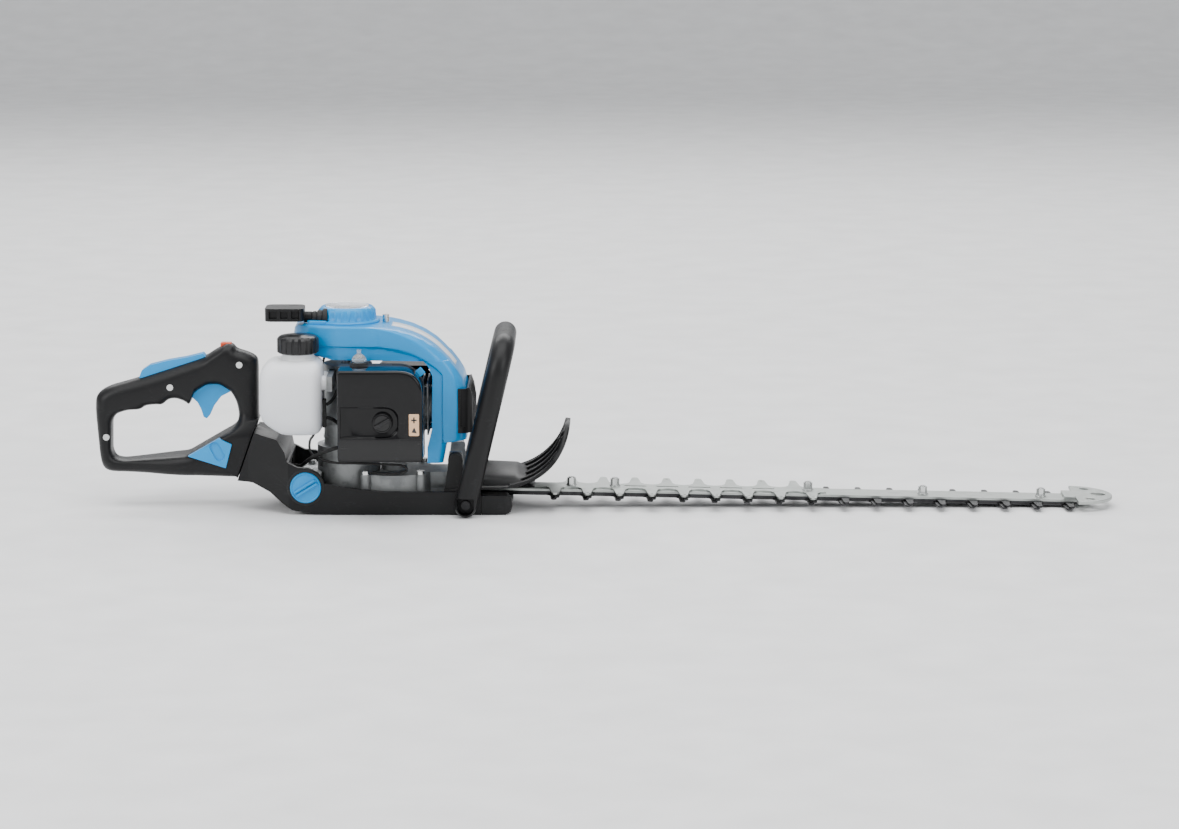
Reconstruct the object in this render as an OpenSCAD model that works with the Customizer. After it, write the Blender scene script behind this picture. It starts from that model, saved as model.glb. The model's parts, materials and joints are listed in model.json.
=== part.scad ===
// Petrol hedge trimmer with double-sided reciprocating blades and a swivelling rear handle.
// Millimetres, +X along the blades, +Y to the muffler side, +Z up.
// The origin is on the flat underside of the base, right below the crankshaft.

/* [Base] */
// Half width of the base tray
base_half_w = 56; // [52:1:64]
// Front end of the base tray
base_front = 180; // [170:1:186]
// Thickness of the tray floor
base_floor = 4; // [3:0.5:5]
// Thickness of the tray side walls
base_wall = 6; // [4:0.5:7]
// Radius of the blue side caps
cap_r = 16.7; // [12:0.1:18]

/* [Blades] */
// Distance from one tooth to the next
tooth_pitch = 35; // [30:1:36]
// Number of teeth on one side of a blade
tooth_count = 17; // [9:1:17]
// Number of teeth on one side of the blunt guard plate
guard_count = 9; // [5:1:9]
// Place of the first tooth along X
first_tooth_x = 226; // [222:1:240]
// Fall of the blades below level
blade_droop = 1.2; // [0.6:0.05:1.2]
// Thickness of each cutting blade
blade_t = 2; // [1.6:0.1:2.2]
// Tip to tip width of the cutting blades
blade_w = 84; // [74:1:88]
// Tip to tip width of the blunt guard plate
guard_w = 95; // [80:1:104]
// Thickness of the guard plate
guard_t = 2; // [1.5:0.1:2.5]
// Width of the guide bar
bar_w = 34; // [28:1:36]
// Thickness of the guide bar
bar_t = 2.5; // [2:0.1:3]
// Travel of each blade to either side of its middle place
half_stroke = 10; // [6:0.5:10]
// Radius of the blade bolts' bushes
bush_r = 3.2; // [2.6:0.1:3.6]

/* [Engine] */
// Height of the cylinder's centre line
crank_z = 112; // [108:1:116]
// Bore radius of the cylinder
bore_r = 16; // [14:0.5:17]
// Crank throw, half of the piston's travel
crank_throw = 14; // [12:0.5:15]
// Length of the connecting rod between its eyes
rod_len = 52; // [50:1:56]
// Crankshaft radius
shaft_r = 6; // [5:0.5:7]
// Flywheel radius
flywheel_r = 40; // [34:1:40]
// Radius of the recoil starter dome
dome_r = 30; // [27:1:33]
// Top of the recoil starter dome
dome_top = 221; // [218:1:226]

/* [Gears] */
// Tooth module of the gear pair
gear_module = 1.5; // [1.25:0.05:1.5]
// Teeth on the pinion
pinion_teeth = 12; // [10:1:14]
// Teeth on the big gear
gear_teeth = 54; // [44:1:54]

/* [Air cleaner] */
// Width of the air cleaner cover along X
cleaner_w = 91; // [84:1:96]
// Height of the air cleaner cover
cleaner_h = 99; // [90:1:102]
// Outer face of the air cleaner cover, measured from the crankshaft
cleaner_reach = 100; // [92:1:106]
// Wall of the air cleaner cover
cleaner_wall = 2.5; // [2:0.5:3.5]

/* [Fuel tank] */
// Width of the tank along X
tank_l = 67; // [56:1:67]
// Depth of the tank along Y
tank_w = 67; // [56:1:70]
// Wall of the tank
tank_wall = 2.5; // [2:0.5:3.5]
// Radius of the fuel cap
fuel_cap_r = 22.5; // [19:0.5:25]

/* [Handles] */
// Half thickness of the rear handle at the grip
grip_half_w = 16; // [14:1:19]
// Wall of the rear handle halves
grip_wall = 3; // [2.5:0.5:4]
// Radius of the swivel joint between the rear handle and the base
swivel_r = 30; // [27:1:31]
// Radius of the front handle's tube
tube_r = 12.2; // [10:0.2:13]
// Distance from the middle to each leg of the front handle
leg_y = 70; // [68:1:76]
// Top of the front handle
handle_top = 197; // [180:1:210]

/* [Fits] */
// Radial running clearance of shafts, pins and bores
fit = 0.05; // [0.02:0.01:0.1]
// Gap between parts that pass each other
gap = 0.4; // [0.3:0.05:0.6]

/* [Hidden] */
$fn = 64;
eps = 0.01;

// Colours
c_blue = "deepskyblue";
c_black = [0.1, 0.1, 0.11];
c_gloss = [0.03, 0.03, 0.035];
c_cast = [0.6, 0.61, 0.62];
c_steel = [0.72, 0.73, 0.71];
c_zinc = [0.85, 0.86, 0.86];
c_dark = [0.2, 0.2, 0.2];
c_rubber = [0.06, 0.06, 0.06];
c_tank = [0.93, 0.94, 0.93];

// Blade frame: local X runs along the blades, local Z = 0 is the guide bar's underside
root_x = 150;
root_z = 19.8;
bar_end = first_tooth_x + tooth_pitch * (tooth_count - 1) - root_x + 22;
guard_end = first_tooth_x + tooth_pitch * (guard_count - 1) - root_x + 12;
first_tooth = first_tooth_x - root_x;
bolt_at = [first_tooth - 42, first_tooth + 17.5, first_tooth + 65, first_tooth + tooth_pitch * 7.9,
    first_tooth + tooth_pitch * 11.5, first_tooth + tooth_pitch * 15.2];

// Gear train, all on vertical shafts: the crank at X = 0, the big gear ahead of it
pinion_r = gear_module * pinion_teeth / 2;
gear_r = gear_module * gear_teeth / 2;
gear_x = pinion_r + gear_r + 0.15;
gear_z = 26.5;
gear_face = 8;
case_z = base_floor + 1.5;
case_top = 41;
case_wall = 3;
case_r = gear_r + gear_module + case_wall + 1;
case_front = 132;
case_half_w = 22;
gear_shaft_r = 6;

// Crank train heights
web_r = 20;
web_t = 7;
web_gap = 12;
web_low = crank_z - web_gap / 2 - web_t;
web_high = crank_z + web_gap / 2 + web_t;
crankcase_low = 64;
crankcase_high = 158;
crankcase_r = 26.5;
drum_z = 42.5;
drum_h = 18;
drum_r = 28;
flywheel_z = 173;
flywheel_h = 24;
bearing_r = 14;
bearing_t = 8;
piston_x = crank_throw + rod_len;
head_x = piston_x + 14;

// Air cleaner place
cleaner_x = -5.5;
cleaner_z = 66;
cleaner_back = 48;
cleaner_split = 68;
cleaner_corner = 27;
knob = [42.5, -cleaner_reach, 109];
knob_r = 11;

// Tank place
tank_x = -90.5;
tank_y = -48.5;
tank_low = 90;
tank_top = 170;
cap_x = -50;
cap_y = -50;
neck_r = 17;

// Swivel joint between the rear handle and the base
swivel_tilt = 19.7;
swivel_c = [-109.5, 0, 61.5];
swivel_half_gap = 0.3;
hub_r = 19;

// Front handle plane
foot = [129.7, 12.5];
lean = atan((171 - foot[0]) / (185 - foot[1]));
leg_len = (handle_top - tube_r - foot[1]) / cos(lean);
corner_r = 32;
seat = [-43.4, 30.2];
seat_r = 20;
mount_r = 9;
screw_r = 2.5;

// Vertical cylinder between two heights
module post(x, y, r, low, high) {
    translate([x, y, low]) cylinder(r = r, h = high - low);
}

// Extrudes an outline drawn in X and Z between two depths along Y
module side_plate(y_low, y_high) {
    translate([0, y_high, 0]) rotate([90, 0, 0]) linear_extrude(y_high - y_low) children();
}

// Cylinder along Y between two depths
module cross_pin(x, z, r, y_low, y_high) {
    translate([x, y_high, z]) rotate([90, 0, 0]) cylinder(r = r, h = y_high - y_low);
}

// Puts children in the swivel frame: local Z runs forward along the swivel axis, 0 at the seam
module at_swivel() {
    translate(swivel_c) rotate([0, 90 + swivel_tilt, 0]) children();
}

// Puts children in the blade frame
module at_blades() {
    translate([root_x, 0, root_z]) rotate([0, blade_droop, 0]) children();
}

// Rounded rectangle about the middle
module round_rect(w, h, r) {
    offset(r) square([w - 2 * r, h - 2 * r], center = true);
}

// Straight slot with round ends along X
module slot_2d(length, r) {
    square([length - 2 * r, 2 * r], center = true);
    for (side = [-1, 1]) translate([side * (length / 2 - r), 0]) circle(r);
}

// ---- Base ----

module tray_side() {
    polygon([[-140, 34], [-102, 31], [-83, 23], [-70.6, 13], [-57.7, 5], [-34, 1], [-10, 0],
        [base_front - 34, 0], [base_front - 34, 25], [43, 25], [5, 29], [-24, 34], [-30, 46],
        [-40, 51], [-52, 52], [-64, 58], [-66, 68], [-75, 81], [-130, 92]]);
}

module tray_plan(inset = 0) {
    polygon([[-140, -27 + inset], [-108, -30 + inset], [-62, -base_half_w + inset],
        [base_front, -base_half_w + inset], [base_front, base_half_w - inset],
        [-62, base_half_w - inset], [-108, 30 - inset], [-140, 27 - inset]]);
}

// Everything ahead of the swivel seam
module ahead_of_seam() {
    intersection() {
        children();
        at_swivel() translate([-100, -100, swivel_half_gap]) cube([200, 200, 400]);
    }
}

module base_tray() {
    wall_y = base_half_w - base_wall;
    color(c_black) difference() {
        union() {
            ahead_of_seam() intersection() {
                side_plate(-80, 80) tray_side();
                linear_extrude(120) tray_plan();
            }
            at_swivel() translate([0, 0, swivel_half_gap]) cylinder(r = swivel_r, h = 26);
            for (side = [-1, 1]) translate([0, side * (base_half_w - base_wall / 2), 0])
                cross_pin(seat[0], seat[1], seat_r, -base_wall / 2, base_wall / 2);
        }
        // Open pocket for the gear case
        translate([-62, -wall_y, base_floor]) cube([base_front + 30, 2 * wall_y, 120]);
        // Swivel socket and the seat of its ring
        at_swivel() cylinder(r = hub_r + fit, h = 24);
        at_swivel() translate([0, 0, 12]) cylinder(r = hub_r + 5, h = 3);
        at_swivel() cylinder(r = 8, h = 60);
        for (side = [-1, 1]) {
            cross_pin(seat[0], seat[1], screw_r, side * base_half_w - 8, side * base_half_w + 8);
            cross_pin(foot[0], foot[1], screw_r, side * base_half_w - 10, side * base_half_w + 10);
        }
    }
}

module front_foot() {
    len = 34 - gap;
    color(c_black) difference() {
        translate([base_front - len, 0, 0]) intersection() {
            side_plate(-base_half_w, base_half_w) polygon([[0, 0], [len - 8, 0], [len - 2, 3],
                [len, 9], [len - 1, 17], [len - 6, 21], [0, 21]]);
            translate([len / 2 - 10, 0, 0]) linear_extrude(30)
                round_rect(len + 20, 2 * base_half_w, 9);
        }
        translate([base_front - 40, -36, 11]) cube([60, 72, 20]);
    }
}

module side_caps() {
    color(c_blue) for (side = [-1, 1]) difference() {
        union() {
            cross_pin(seat[0], seat[1], cap_r, side * (base_half_w + 1.5) - 1.5,
                side * (base_half_w + 1.5) + 1.5);
            cross_pin(seat[0], seat[1], cap_r - 2.5, side * (base_half_w + 3.5) - 0.5,
                side * (base_half_w + 3.5) + 0.5);
            translate([seat[0], side * (base_half_w + 4.5), seat[1]]) rotate([0, 25, 0])
                cube([2 * cap_r - 9, 3, 4], center = true);
        }
        translate([seat[0], side * (base_half_w + 6), seat[1]]) rotate([0, 25, 0])
            cube([2 * cap_r - 14, 3, 1.6], center = true);
    }
}

module rubber_mounts() {
    color(c_rubber) for (side = [-1, 1]) {
        y_in = side > 0 ? 36 : -base_half_w + base_wall;
        cross_pin(seat[0], seat[1], mount_r, y_in, y_in + base_half_w - base_wall - 36);
        y_low = side > 0 ? 36 : -44;
        cross_pin(118, 58, 8, y_low, y_low + 8);
    }
    color(c_cast) for (side = [-1, 1]) difference() {
        union() {
            y_low = side > 0 ? 44 : -47;
            side_plate(y_low, y_low + 3) polygon([[106, 25], [130, 25], [124, 64], [112, 64]]);
            cross_pin(118, 58, 7.5, y_low, y_low + 3);
            translate([118, side * 47.5, 26]) cube([24, 7, 2], center = true);
        }
    }
}

// ---- Gear case ----

module case_outline(inset = 0) {
    translate([gear_x, 0]) circle(case_r - inset);
    circle(34 - inset);
    translate([gear_x, -case_half_w + inset])
        square([case_front - gear_x - inset, 2 * (case_half_w - inset)]);
}

module case_cavity() {
    translate([gear_x, 0]) circle(case_r - case_wall);
    circle(pinion_r + gear_module + 3);
    translate([gear_x, -case_half_w + case_wall])
        square([case_front - gear_x + 1, 2 * (case_half_w - case_wall)]);
}

case_split = 23.4;
case_floor_top = 10;
case_roof = 35.6;
case_screw_at = [[-42, 24], [-42, -24], [20, 38], [20, -38], [80, 36], [80, -36]];

module gear_case() {
    color(c_cast) difference() {
        union() {
            translate([0, 0, case_z]) linear_extrude(case_split - case_z) case_outline();
            translate([-52, -36, 20]) cube([24, 72, case_split - 20]);
            for (p = case_screw_at) post(p[0], p[1], 5.5, case_z, case_split);
        }
        translate([0, 0, case_floor_top]) linear_extrude(30) case_cavity();
        post(gear_x, 0, gear_shaft_r + 3, case_z + 1.5, 20);
        for (p = case_screw_at) post(p[0], p[1], screw_r, case_z + 4, case_split + 1);
    }
}

module gear_case_cover() {
    color(c_cast) difference() {
        union() {
            translate([0, 0, case_split]) linear_extrude(case_top - case_split) case_outline();
            translate([-52, -36, case_split]) cube([24, 72, case_top - case_split]);
            for (p = case_screw_at) post(p[0], p[1], 5.5, case_split, case_top);
            post(gear_x, 0, 14, case_top, case_top + 5);
            for (side = [-1, 1]) {
                y_low = side > 0 ? 28 : -36;
                translate([108, side > 0 ? 20 : -36, case_split])
                    cube([20, 16, case_top - case_split]);
                side_plate(y_low, y_low + 8)
                    polygon([[108, case_top], [128, case_top], [125, 65], [111, 65]]);
            }
            // Skirt that carries the crankcase and shields the clutch
            difference() {
                post(0, 0, 34, case_top, crankcase_low);
                post(0, 0, 31, case_top, crankcase_low + 1);
            }
        }
        difference() {
            translate([0, 0, case_split - 1]) linear_extrude(case_roof - case_split + 1)
                case_cavity();
            translate([104, -case_half_w, case_split]) cube([60, 2 * case_half_w, 20]);
        }
        post(0, 0, bearing_r, case_roof - 1, case_top - 0.6);
        post(0, 0, 11, case_split, case_top + 2);
        post(gear_x, 0, gear_shaft_r + 3, case_roof - 1, case_top + 3);
        for (p = case_screw_at) post(p[0], p[1], screw_r, case_split - 1, case_top + 1);
        post(125, 0, screw_r, case_split - 1, case_top + 1);
        for (a = [150:30:210]) rotate(a) translate([32, 0, 52])
            cube([12, 9, 12], center = true);
    }
}

// The four screws that hold the cylinder's foot
module foot_screws(r, low, high) {
    for (y = [-1, 1]) for (z = [-1, 1]) along_x(y * foot_screw, crank_z + z * foot_screw, r,
        low, high);
}

foot_screw = 21.5;

module machine_screws() {
    color(c_zinc) {
        for (p = case_screw_at) {
            post(p[0], p[1], screw_r, case_z + 4, case_top);
            post(p[0], p[1], 4.5, case_top, case_top + 4);
        }
        post(125, 0, screw_r, case_split - 0.2, case_top);
        post(125, 0, 4.5, case_top, case_top + 4);
        // Cylinder foot screws
        foot_screws(screw_r, 28, 38);
        foot_screws(4, 38, 41);
        // Tall shroud screw on top
        post(42, 0, 3.6, 203.4, 211);
        post(42, 0, 1.8, 196, 203.4);
        // Side cap and foot screws
        for (side = [-1, 1]) cross_pin(seat[0], seat[1], screw_r, side > 0 ? base_half_w - 6 :
            -base_half_w, side > 0 ? base_half_w : 6 - base_half_w);
    }
}

module bearing(x, z, r_in, r_out, h) {
    post(x, 0, r_out, z, z + h);
}

module ring(x, y, r_in, r_out, low, high) {
    difference() {
        post(x, y, r_out, low, high);
        post(x, y, r_in, low - 1, high + 1);
    }
}

module bearings() {
    color(c_steel) {
        ring(gear_x, 0, gear_shaft_r + fit, gear_shaft_r + 3, case_z + 1.5, case_floor_top + 2);
        ring(gear_x, 0, gear_shaft_r + fit, gear_shaft_r + 3, case_roof, case_top + 3);
        ring(0, 0, 7 + fit, bearing_r, case_roof, case_top - 0.6);
        ring(0, 0, shaft_r + fit, bearing_r, 69, 69 + bearing_t);
        ring(0, 0, shaft_r + fit, bearing_r, 142, 142 + bearing_t);
    }
}

// ---- Engine ----

// Cylinder along X between two places
module along_x(y, z, r, low, high) {
    translate([low, y, z]) rotate([0, 90, 0]) cylinder(r = r, h = high - low);
}

chamber_r = web_r + 3;

module crankcase() {
    color(c_cast) difference() {
        union() {
            post(0, 0, crankcase_r, crankcase_low, crankcase_high);
            post(0, 0, 34, crankcase_low, crankcase_low + 5);
            translate([0, -26, 84]) cube([34, 52, 56]);
            // Cross arm that the tank hangs on
            translate([tank_x + tank_l + 5, -70, 138]) cube([6, 60, 16]);
            for (z = [76, 90, 132, 146]) post(0, 0, crankcase_r + 0.8, z, z + 3);
            for (y = [-30, 30]) post(14, y, 4, crankcase_low, crankcase_low + 16);
        }
        post(0, 0, chamber_r, web_low - 1, web_high + 1);
        post(0, 0, shaft_r + 1.5, crankcase_low - 1, crankcase_high + 1);
        post(0, 0, bearing_r, 69, 69 + bearing_t);
        post(0, 0, bearing_r, 142, 142 + bearing_t);
        along_x(0, crank_z, bore_r + 0.2, 10, 35);
        foot_screws(screw_r, 28, 35);
    }
}

module cylinder_fin(x) {
    translate([x, 0, crank_z]) rotate([0, 90, 0]) linear_extrude(1.6) round_rect(60, 62, 8);
}

module cylinder_barrel() {
    difference() {
        union() {
            along_x(0, crank_z, bore_r + 5, 34, head_x + 12);
            translate([34, -26, crank_z - 26]) cube([4, 52, 52]);
            for (k = [0 : 8]) cylinder_fin(44 + k * 5.4);
            translate([54, -32, crank_z - 14]) cube([22, 64, 28]);
        }
        along_x(0, crank_z, bore_r, 33, head_x + 0.5);
        foot_screws(screw_r, 33, 39);
        along_x(0, crank_z, 5, head_x, head_x + 13);
        cross_pin(65, crank_z, 7, -33, -12);
        cross_pin(65, crank_z, 7, 12, 33);
    }
}

module cylinder_node() {
    color(c_cast) cylinder_barrel();
}

module spark_plug() {
    color(c_zinc) {
        along_x(0, crank_z, 4.9, head_x + 1, head_x + 12);
        translate([head_x + 12, 0, crank_z]) rotate([0, 90, 0]) cylinder(r = 9, h = 5, $fn = 6);
        along_x(0, crank_z, 4.5, head_x + 17, head_x + 30);
    }
}

module plug_cap() {
    color(c_rubber) difference() {
        union() {
            along_x(0, crank_z, 8, head_x + 18, head_x + 34);
            post(head_x + 27, 0, 6, crank_z, crank_z + 24);
        }
        along_x(0, crank_z, 4.5, head_x + 17, head_x + 30);
    }
}

module muffler() {
    color(c_dark) difference() {
        union() {
            side_plate(36, 76) translate([62, crank_z]) round_rect(54, 56, 12);
            side_plate(32, 36) translate([65, crank_z]) square([30, 26], center = true);
            cross_pin(76, crank_z - 14, 6, 76, 82);
        }
        side_plate(38, 74) translate([62, crank_z]) round_rect(50, 52, 10);
        cross_pin(65, crank_z, 7, 31, 40);
        cross_pin(76, crank_z - 14, 4, 70, 83);
    }
}

module muffler_guard() {
    color(c_black) difference() {
        side_plate(39, 88) translate([62, crank_z]) round_rect(72, 72, 16);
        side_plate(38, 85.5) translate([62, crank_z]) round_rect(67, 67, 14);
        for (k = [-3 : 3]) side_plate(84, 89) translate([62 + k * 8, crank_z + 6])
            rotate(90) slot_2d(38, 2);
        cross_pin(76, crank_z - 14, 7, 84, 89);
    }
}

module carburettor() {
    color(c_cast) difference() {
        union() {
            side_plate(-36, -32) translate([65, crank_z]) square([34, 26], center = true);
            side_plate(-62, -36) translate([65, crank_z]) square([30, 32], center = true);
            cross_pin(65, crank_z - 20, 9, -58, -42);
        }
        cross_pin(65, crank_z, 7, -63, -31);
    }
    color(c_zinc) post(65, -52, 3, crank_z + 16, crank_z + 22);
}

// ---- Air cleaner ----

// Outline of the air cleaner in X and Z, with the big round corner at the top front
module cleaner_outline(inset = 0) {
    w = cleaner_w - 2 * inset;
    h = cleaner_h - 2 * inset;
    r = cleaner_corner - inset;
    translate([cleaner_x + inset, cleaner_z + inset]) {
        square([w - r, h]);
        square([w, h - r]);
        translate([w - r, h - r]) circle(r);
    }
}

choke_c = [cleaner_x + cleaner_w - cleaner_corner, cleaner_z + cleaner_h - cleaner_corner];
choke_slot_y = -58;
primer = [16, -58];
primer_r = 8;

module air_cleaner_base() {
    color(c_dark) difference() {
        side_plate(-cleaner_split, -cleaner_back) cleaner_outline();
        side_plate(-cleaner_split + 3, -cleaner_back - 3) cleaner_outline(cleaner_wall);
        side_plate(-cleaner_back - 4, -cleaner_back + 1) translate([65, crank_z - 6])
            square([38, 60], center = true);
        cross_pin(65, crank_z, 9, -cleaner_split - 1, -cleaner_split + 4);
        // Curved slot for the choke lever
        translate([0, choke_slot_y + 2, 0]) rotate([90, 0, 0]) linear_extrude(4) difference() {
            translate(choke_c) intersection() {
                circle(cleaner_corner + 1);
                rotate(15) square([60, 60]);
            }
            translate(choke_c) circle(cleaner_corner - 4);
        }
        post(primer[0], primer[1], 6, cleaner_z + cleaner_h - 4, cleaner_z + cleaner_h + 1);
        // Gills on the front side
        for (z = [95 : 7 : 130]) translate([cleaner_x + cleaner_w - 4, -64, z]) cube([6, 14, 3]);
    }
    color(c_rubber) ring(primer[0], primer[1], primer_r + 0.4, primer_r + 2, cleaner_z + cleaner_h,
        cleaner_z + cleaner_h + 3);
    color(c_dark) cross_pin(choke_c[0], choke_c[1], 3, -cleaner_split + 3, -cleaner_back - 3);
}

module filter_foam() {
    color([0.25, 0.25, 0.28]) side_plate(-cleaner_reach + 12, -cleaner_split)
        translate([41, 118]) round_rect(64, 66, 8);
}

module air_cleaner_cover() {
    lid = -cleaner_reach;
    color(c_gloss) difference() {
        side_plate(lid, -cleaner_split) cleaner_outline();
        side_plate(lid + 8, -cleaner_split + 1) cleaner_outline(cleaner_wall);
        side_plate(lid + cleaner_wall, lid + 9) cleaner_outline(cleaner_wall + 4);
        // Sunk stadium around the knob
        side_plate(lid - 1, lid + 2) translate([cleaner_x + 26, knob[2]]) slot_2d(76, 16.5);
        cross_pin(knob[0], knob[2], 4 + fit, lid - 1, lid + 10);
    }
}

module cover_knob() {
    color(c_black) translate([knob[0], knob[1], knob[2]]) rotate([90, 0, 0]) {
        translate([0, 0, -2 + gap]) cylinder(r = knob_r, h = 5);
        rotate(30) translate([-knob_r + 1, -2, 3]) cube([2 * knob_r - 2, 4, 4]);
        translate([0, 0, -11]) cylinder(r = 4, h = 10);
    }
}

module choke_lever() {
    color(c_blue) translate([0, choke_slot_y + 1.5, 0]) rotate([90, 0, 0])
        linear_extrude(3) translate(choke_c) rotate(40) difference() {
            union() {
                circle(7);
                translate([0, -4]) square([cleaner_corner + 7, 8]);
            }
            circle(3 + fit);
        }
}

module primer_bulb() {
    top = cleaner_z + cleaner_h;
    color([0.85, 0.88, 0.9]) {
        translate([primer[0], primer[1], top + 4.5]) intersection() {
            sphere(r = primer_r);
            translate([-10, -10, -0.5]) cube(20);
        }
        post(primer[0], primer[1], 5.5, top - 3, top + 4.2);
        post(primer[0], primer[1], 2.5, top + 11, top + 16.5);
    }
}

// ---- Shroud and starter ----

shroud_wall = 2.5;
shroud_half_w = 47;

module shroud_side() {
    polygon([[-58, 172], [-58, 195], [-55, 200], [-49, 203], [30, 204], [54, 201.5], [76, 194.5],
        [98, 180.5], [112, 166.5], [122, 153.5], [130, 139], [131, 79], [110, 76], [105, 55],
        [88, 55], [88, 74], [94, 90], [94, 150], [84, 167], [-20, 167], [-22, 172]]);
}

module shroud_plan(inset = 0) {
    hull() {
        circle(45 - inset);
        translate([-24, 12]) circle(34 - inset);
        translate([20, -shroud_half_w + inset]) square([60, 2 * (shroud_half_w - inset)]);
    }
    translate([56, 0]) offset(16) square([118 - 2 * inset, 2 * (shroud_half_w - inset) - 32],
        center = true);
}

module engine_shroud() {
    color(c_blue) difference() {
        intersection() {
            side_plate(-60, 60) shroud_side();
            linear_extrude(260) shroud_plan();
        }
        intersection() {
            side_plate(-60, 60) {
                offset(delta = -shroud_wall) shroud_side();
                translate([-60, 160]) square([143, 20]);
                translate([96, 50]) square([32, 80]);
                translate([60, 50]) square([50, 110]);
            }
            linear_extrude(260) shroud_plan(shroud_wall);
        }
        // Starter opening, cover opening, muffler side opening
        post(0, 0, dome_r - 3, 190, 210);
        translate([121, -60, 88]) cube([30, 120, 49]);
        translate([20, 35, 50]) cube([82, 30, 105]);
        post(42, 0, 1.8, 190, 210);
    }
}

module starter_housing() {
    base_z = 204;
    color(c_blue) difference() {
        union() {
            rotate_extrude() polygon([[0, base_z], [dome_r + 5, base_z], [dome_r + 5, base_z + 2],
                [dome_r, base_z + 4], [dome_r - 0.5, dome_top - 4], [dome_r - 2, dome_top - 1],
                [dome_r - 4, dome_top], [0, dome_top]]);
            for (a = [0 : 15 : 345]) rotate(a) translate([dome_r - 1, -1.2, base_z + 2])
                cube([1.6, 2.4, dome_top - base_z - 6]);
            translate([-41, -27, base_z]) cube([14, 20, 12]);
        }
        difference() {
            post(0, 0, dome_r - 3, base_z - 1, dome_top - 3);
            post(0, 0, 4, base_z + 1, dome_top);
        }
        along_x(-17, 211, 2.6, -60, 0);
        along_x(-17, 211, 7, -60, -36.6);
    }
    color(c_zinc) translate([0, 0, dome_top]) cylinder(r = dome_r - 6, h = 0.4);
}

module front_grille() {
    color(c_black) difference() {
        intersection() {
            side_plate(-60, 60) polygon([[121.2, 88.2], [121.2, 136.7], [130.4, 136.7],
                [133.4, 138], [136.2, 131], [139, 118], [139, 100], [136, 88.2]]);
            translate([78, 0]) linear_extrude(200) offset(16)
                square([90, 2 * shroud_half_w - 32], center = true);
        }
        translate([118, -shroud_half_w + 3, 80]) cube([13, 2 * shroud_half_w - 6, 80]);
        for (k = [-5 : 5]) translate([125, k * 7 - 2, 96]) cube([20, 4, 38]);
        for (side = [-1, 1]) translate([128, side * shroud_half_w, 115])
            cube([8, 4, 40], center = true);
    }
}

module ignition_coil() {
    color(c_dark) rotate(130) translate([27, -11, 165]) cube([13, 22, 6.5]);
}

module starter_grip() {
    color(c_black) difference() {
        union() {
            translate([-66, -17, 208]) linear_extrude(14) round_rect(42, 36, 8);
            along_x(-17, 211, 6, -46, -37);
        }
        for (x = [-78, -66, -54]) for (y = [-36, -3]) translate([x - 4, y, 211])
            cube([8, 5, 8]);
    }
    color("white") along_x(-17, 211, 1.75, -37, 14);
}

module recoil_pulley() {
    color(c_dark) difference() {
        rotate_extrude() polygon([[4 + fit, 206], [19, 206], [19, 208.4], [14.5, 208.4],
            [14.5, 213.6], [19, 213.6], [19, 215.5], [4 + fit, 215.5]]);
    }
}

// ---- Crank train ----

module crankshaft() {
    color(c_steel) {
        post(0, 0, shaft_r, drum_z + 4, web_low);
        post(0, 0, web_r, web_low, web_low + web_t);
        post(0, 0, web_r, web_high - web_t, web_high);
        post(0, 0, shaft_r, web_high, flywheel_z + flywheel_h);
    }
}

module flywheel() {
    color(c_cast) difference() {
        union() {
            post(0, 0, flywheel_r, flywheel_z, flywheel_z + 5);
            post(0, 0, 15, flywheel_z, flywheel_z + flywheel_h - 1);
            for (k = [0 : 13]) rotate(k * 360 / 14) translate([13, -1, flywheel_z + 4])
                cube([flywheel_r - 14, 2, flywheel_h - 6]);
        }
        post(0, 0, shaft_r, flywheel_z - 1, flywheel_z + 40);
    }
}

module clutch_shoes() {
    color(c_dark) difference() {
        post(0, 0, drum_r - 4, drum_z + 5, drum_z + 15);
        post(0, 0, shaft_r, drum_z, drum_z + 30);
        for (a = [0, 120, 240]) rotate(a) translate([9, -1, drum_z]) cube([30, 2, 30]);
    }
}

module piston() {
    color(c_steel) difference() {
        along_x(0, crank_z, bore_r - fit, piston_x - 12, piston_x + 12);
        along_x(0, crank_z, bore_r - 3, piston_x - 13, piston_x + 7);
        post(piston_x, 0, 4 + fit, crank_z - 20, crank_z + 20);
        for (x = [4, 8]) translate([piston_x + x, 0, crank_z]) rotate([0, 90, 0])
            difference() {
                cylinder(r = bore_r + 1, h = 1);
                cylinder(r = bore_r - 1, h = 3, center = true);
            }
    }
    color(c_steel) post(piston_x, 0, 4, crank_z - 14.5, crank_z + 14.5);
}

module connecting_rod() {
    pin_gap = web_gap / 2 - 0.3;
    color(c_steel) {
        difference() {
            union() {
                post(crank_throw, 0, 8.5, crank_z - 4, crank_z + 4);
                post(piston_x, 0, 7, crank_z - 4, crank_z + 4);
                translate([crank_throw, -3.5, crank_z - 3]) cube([rod_len, 7, 6]);
            }
            post(crank_throw, 0, 5, crank_z - 10, crank_z + 10);
            post(piston_x, 0, 4 + fit, crank_z - 10, crank_z + 10);
        }
        post(crank_throw, 0, 5, crank_z - pin_gap, crank_z + pin_gap);
    }
}

// ---- Clutch drum, gears and blade rods ----

// Spread of an involute at a pressure angle, in degrees
function involute(a) = tan(a) * 180 / PI - a;

// Half the angle that a tooth spans at radius r
function tooth_half(r, pitch_r, teeth) = let(base_r = pitch_r * cos(20))
    85 / teeth + involute(20) - involute(acos(base_r / max(r, base_r)));

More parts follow.
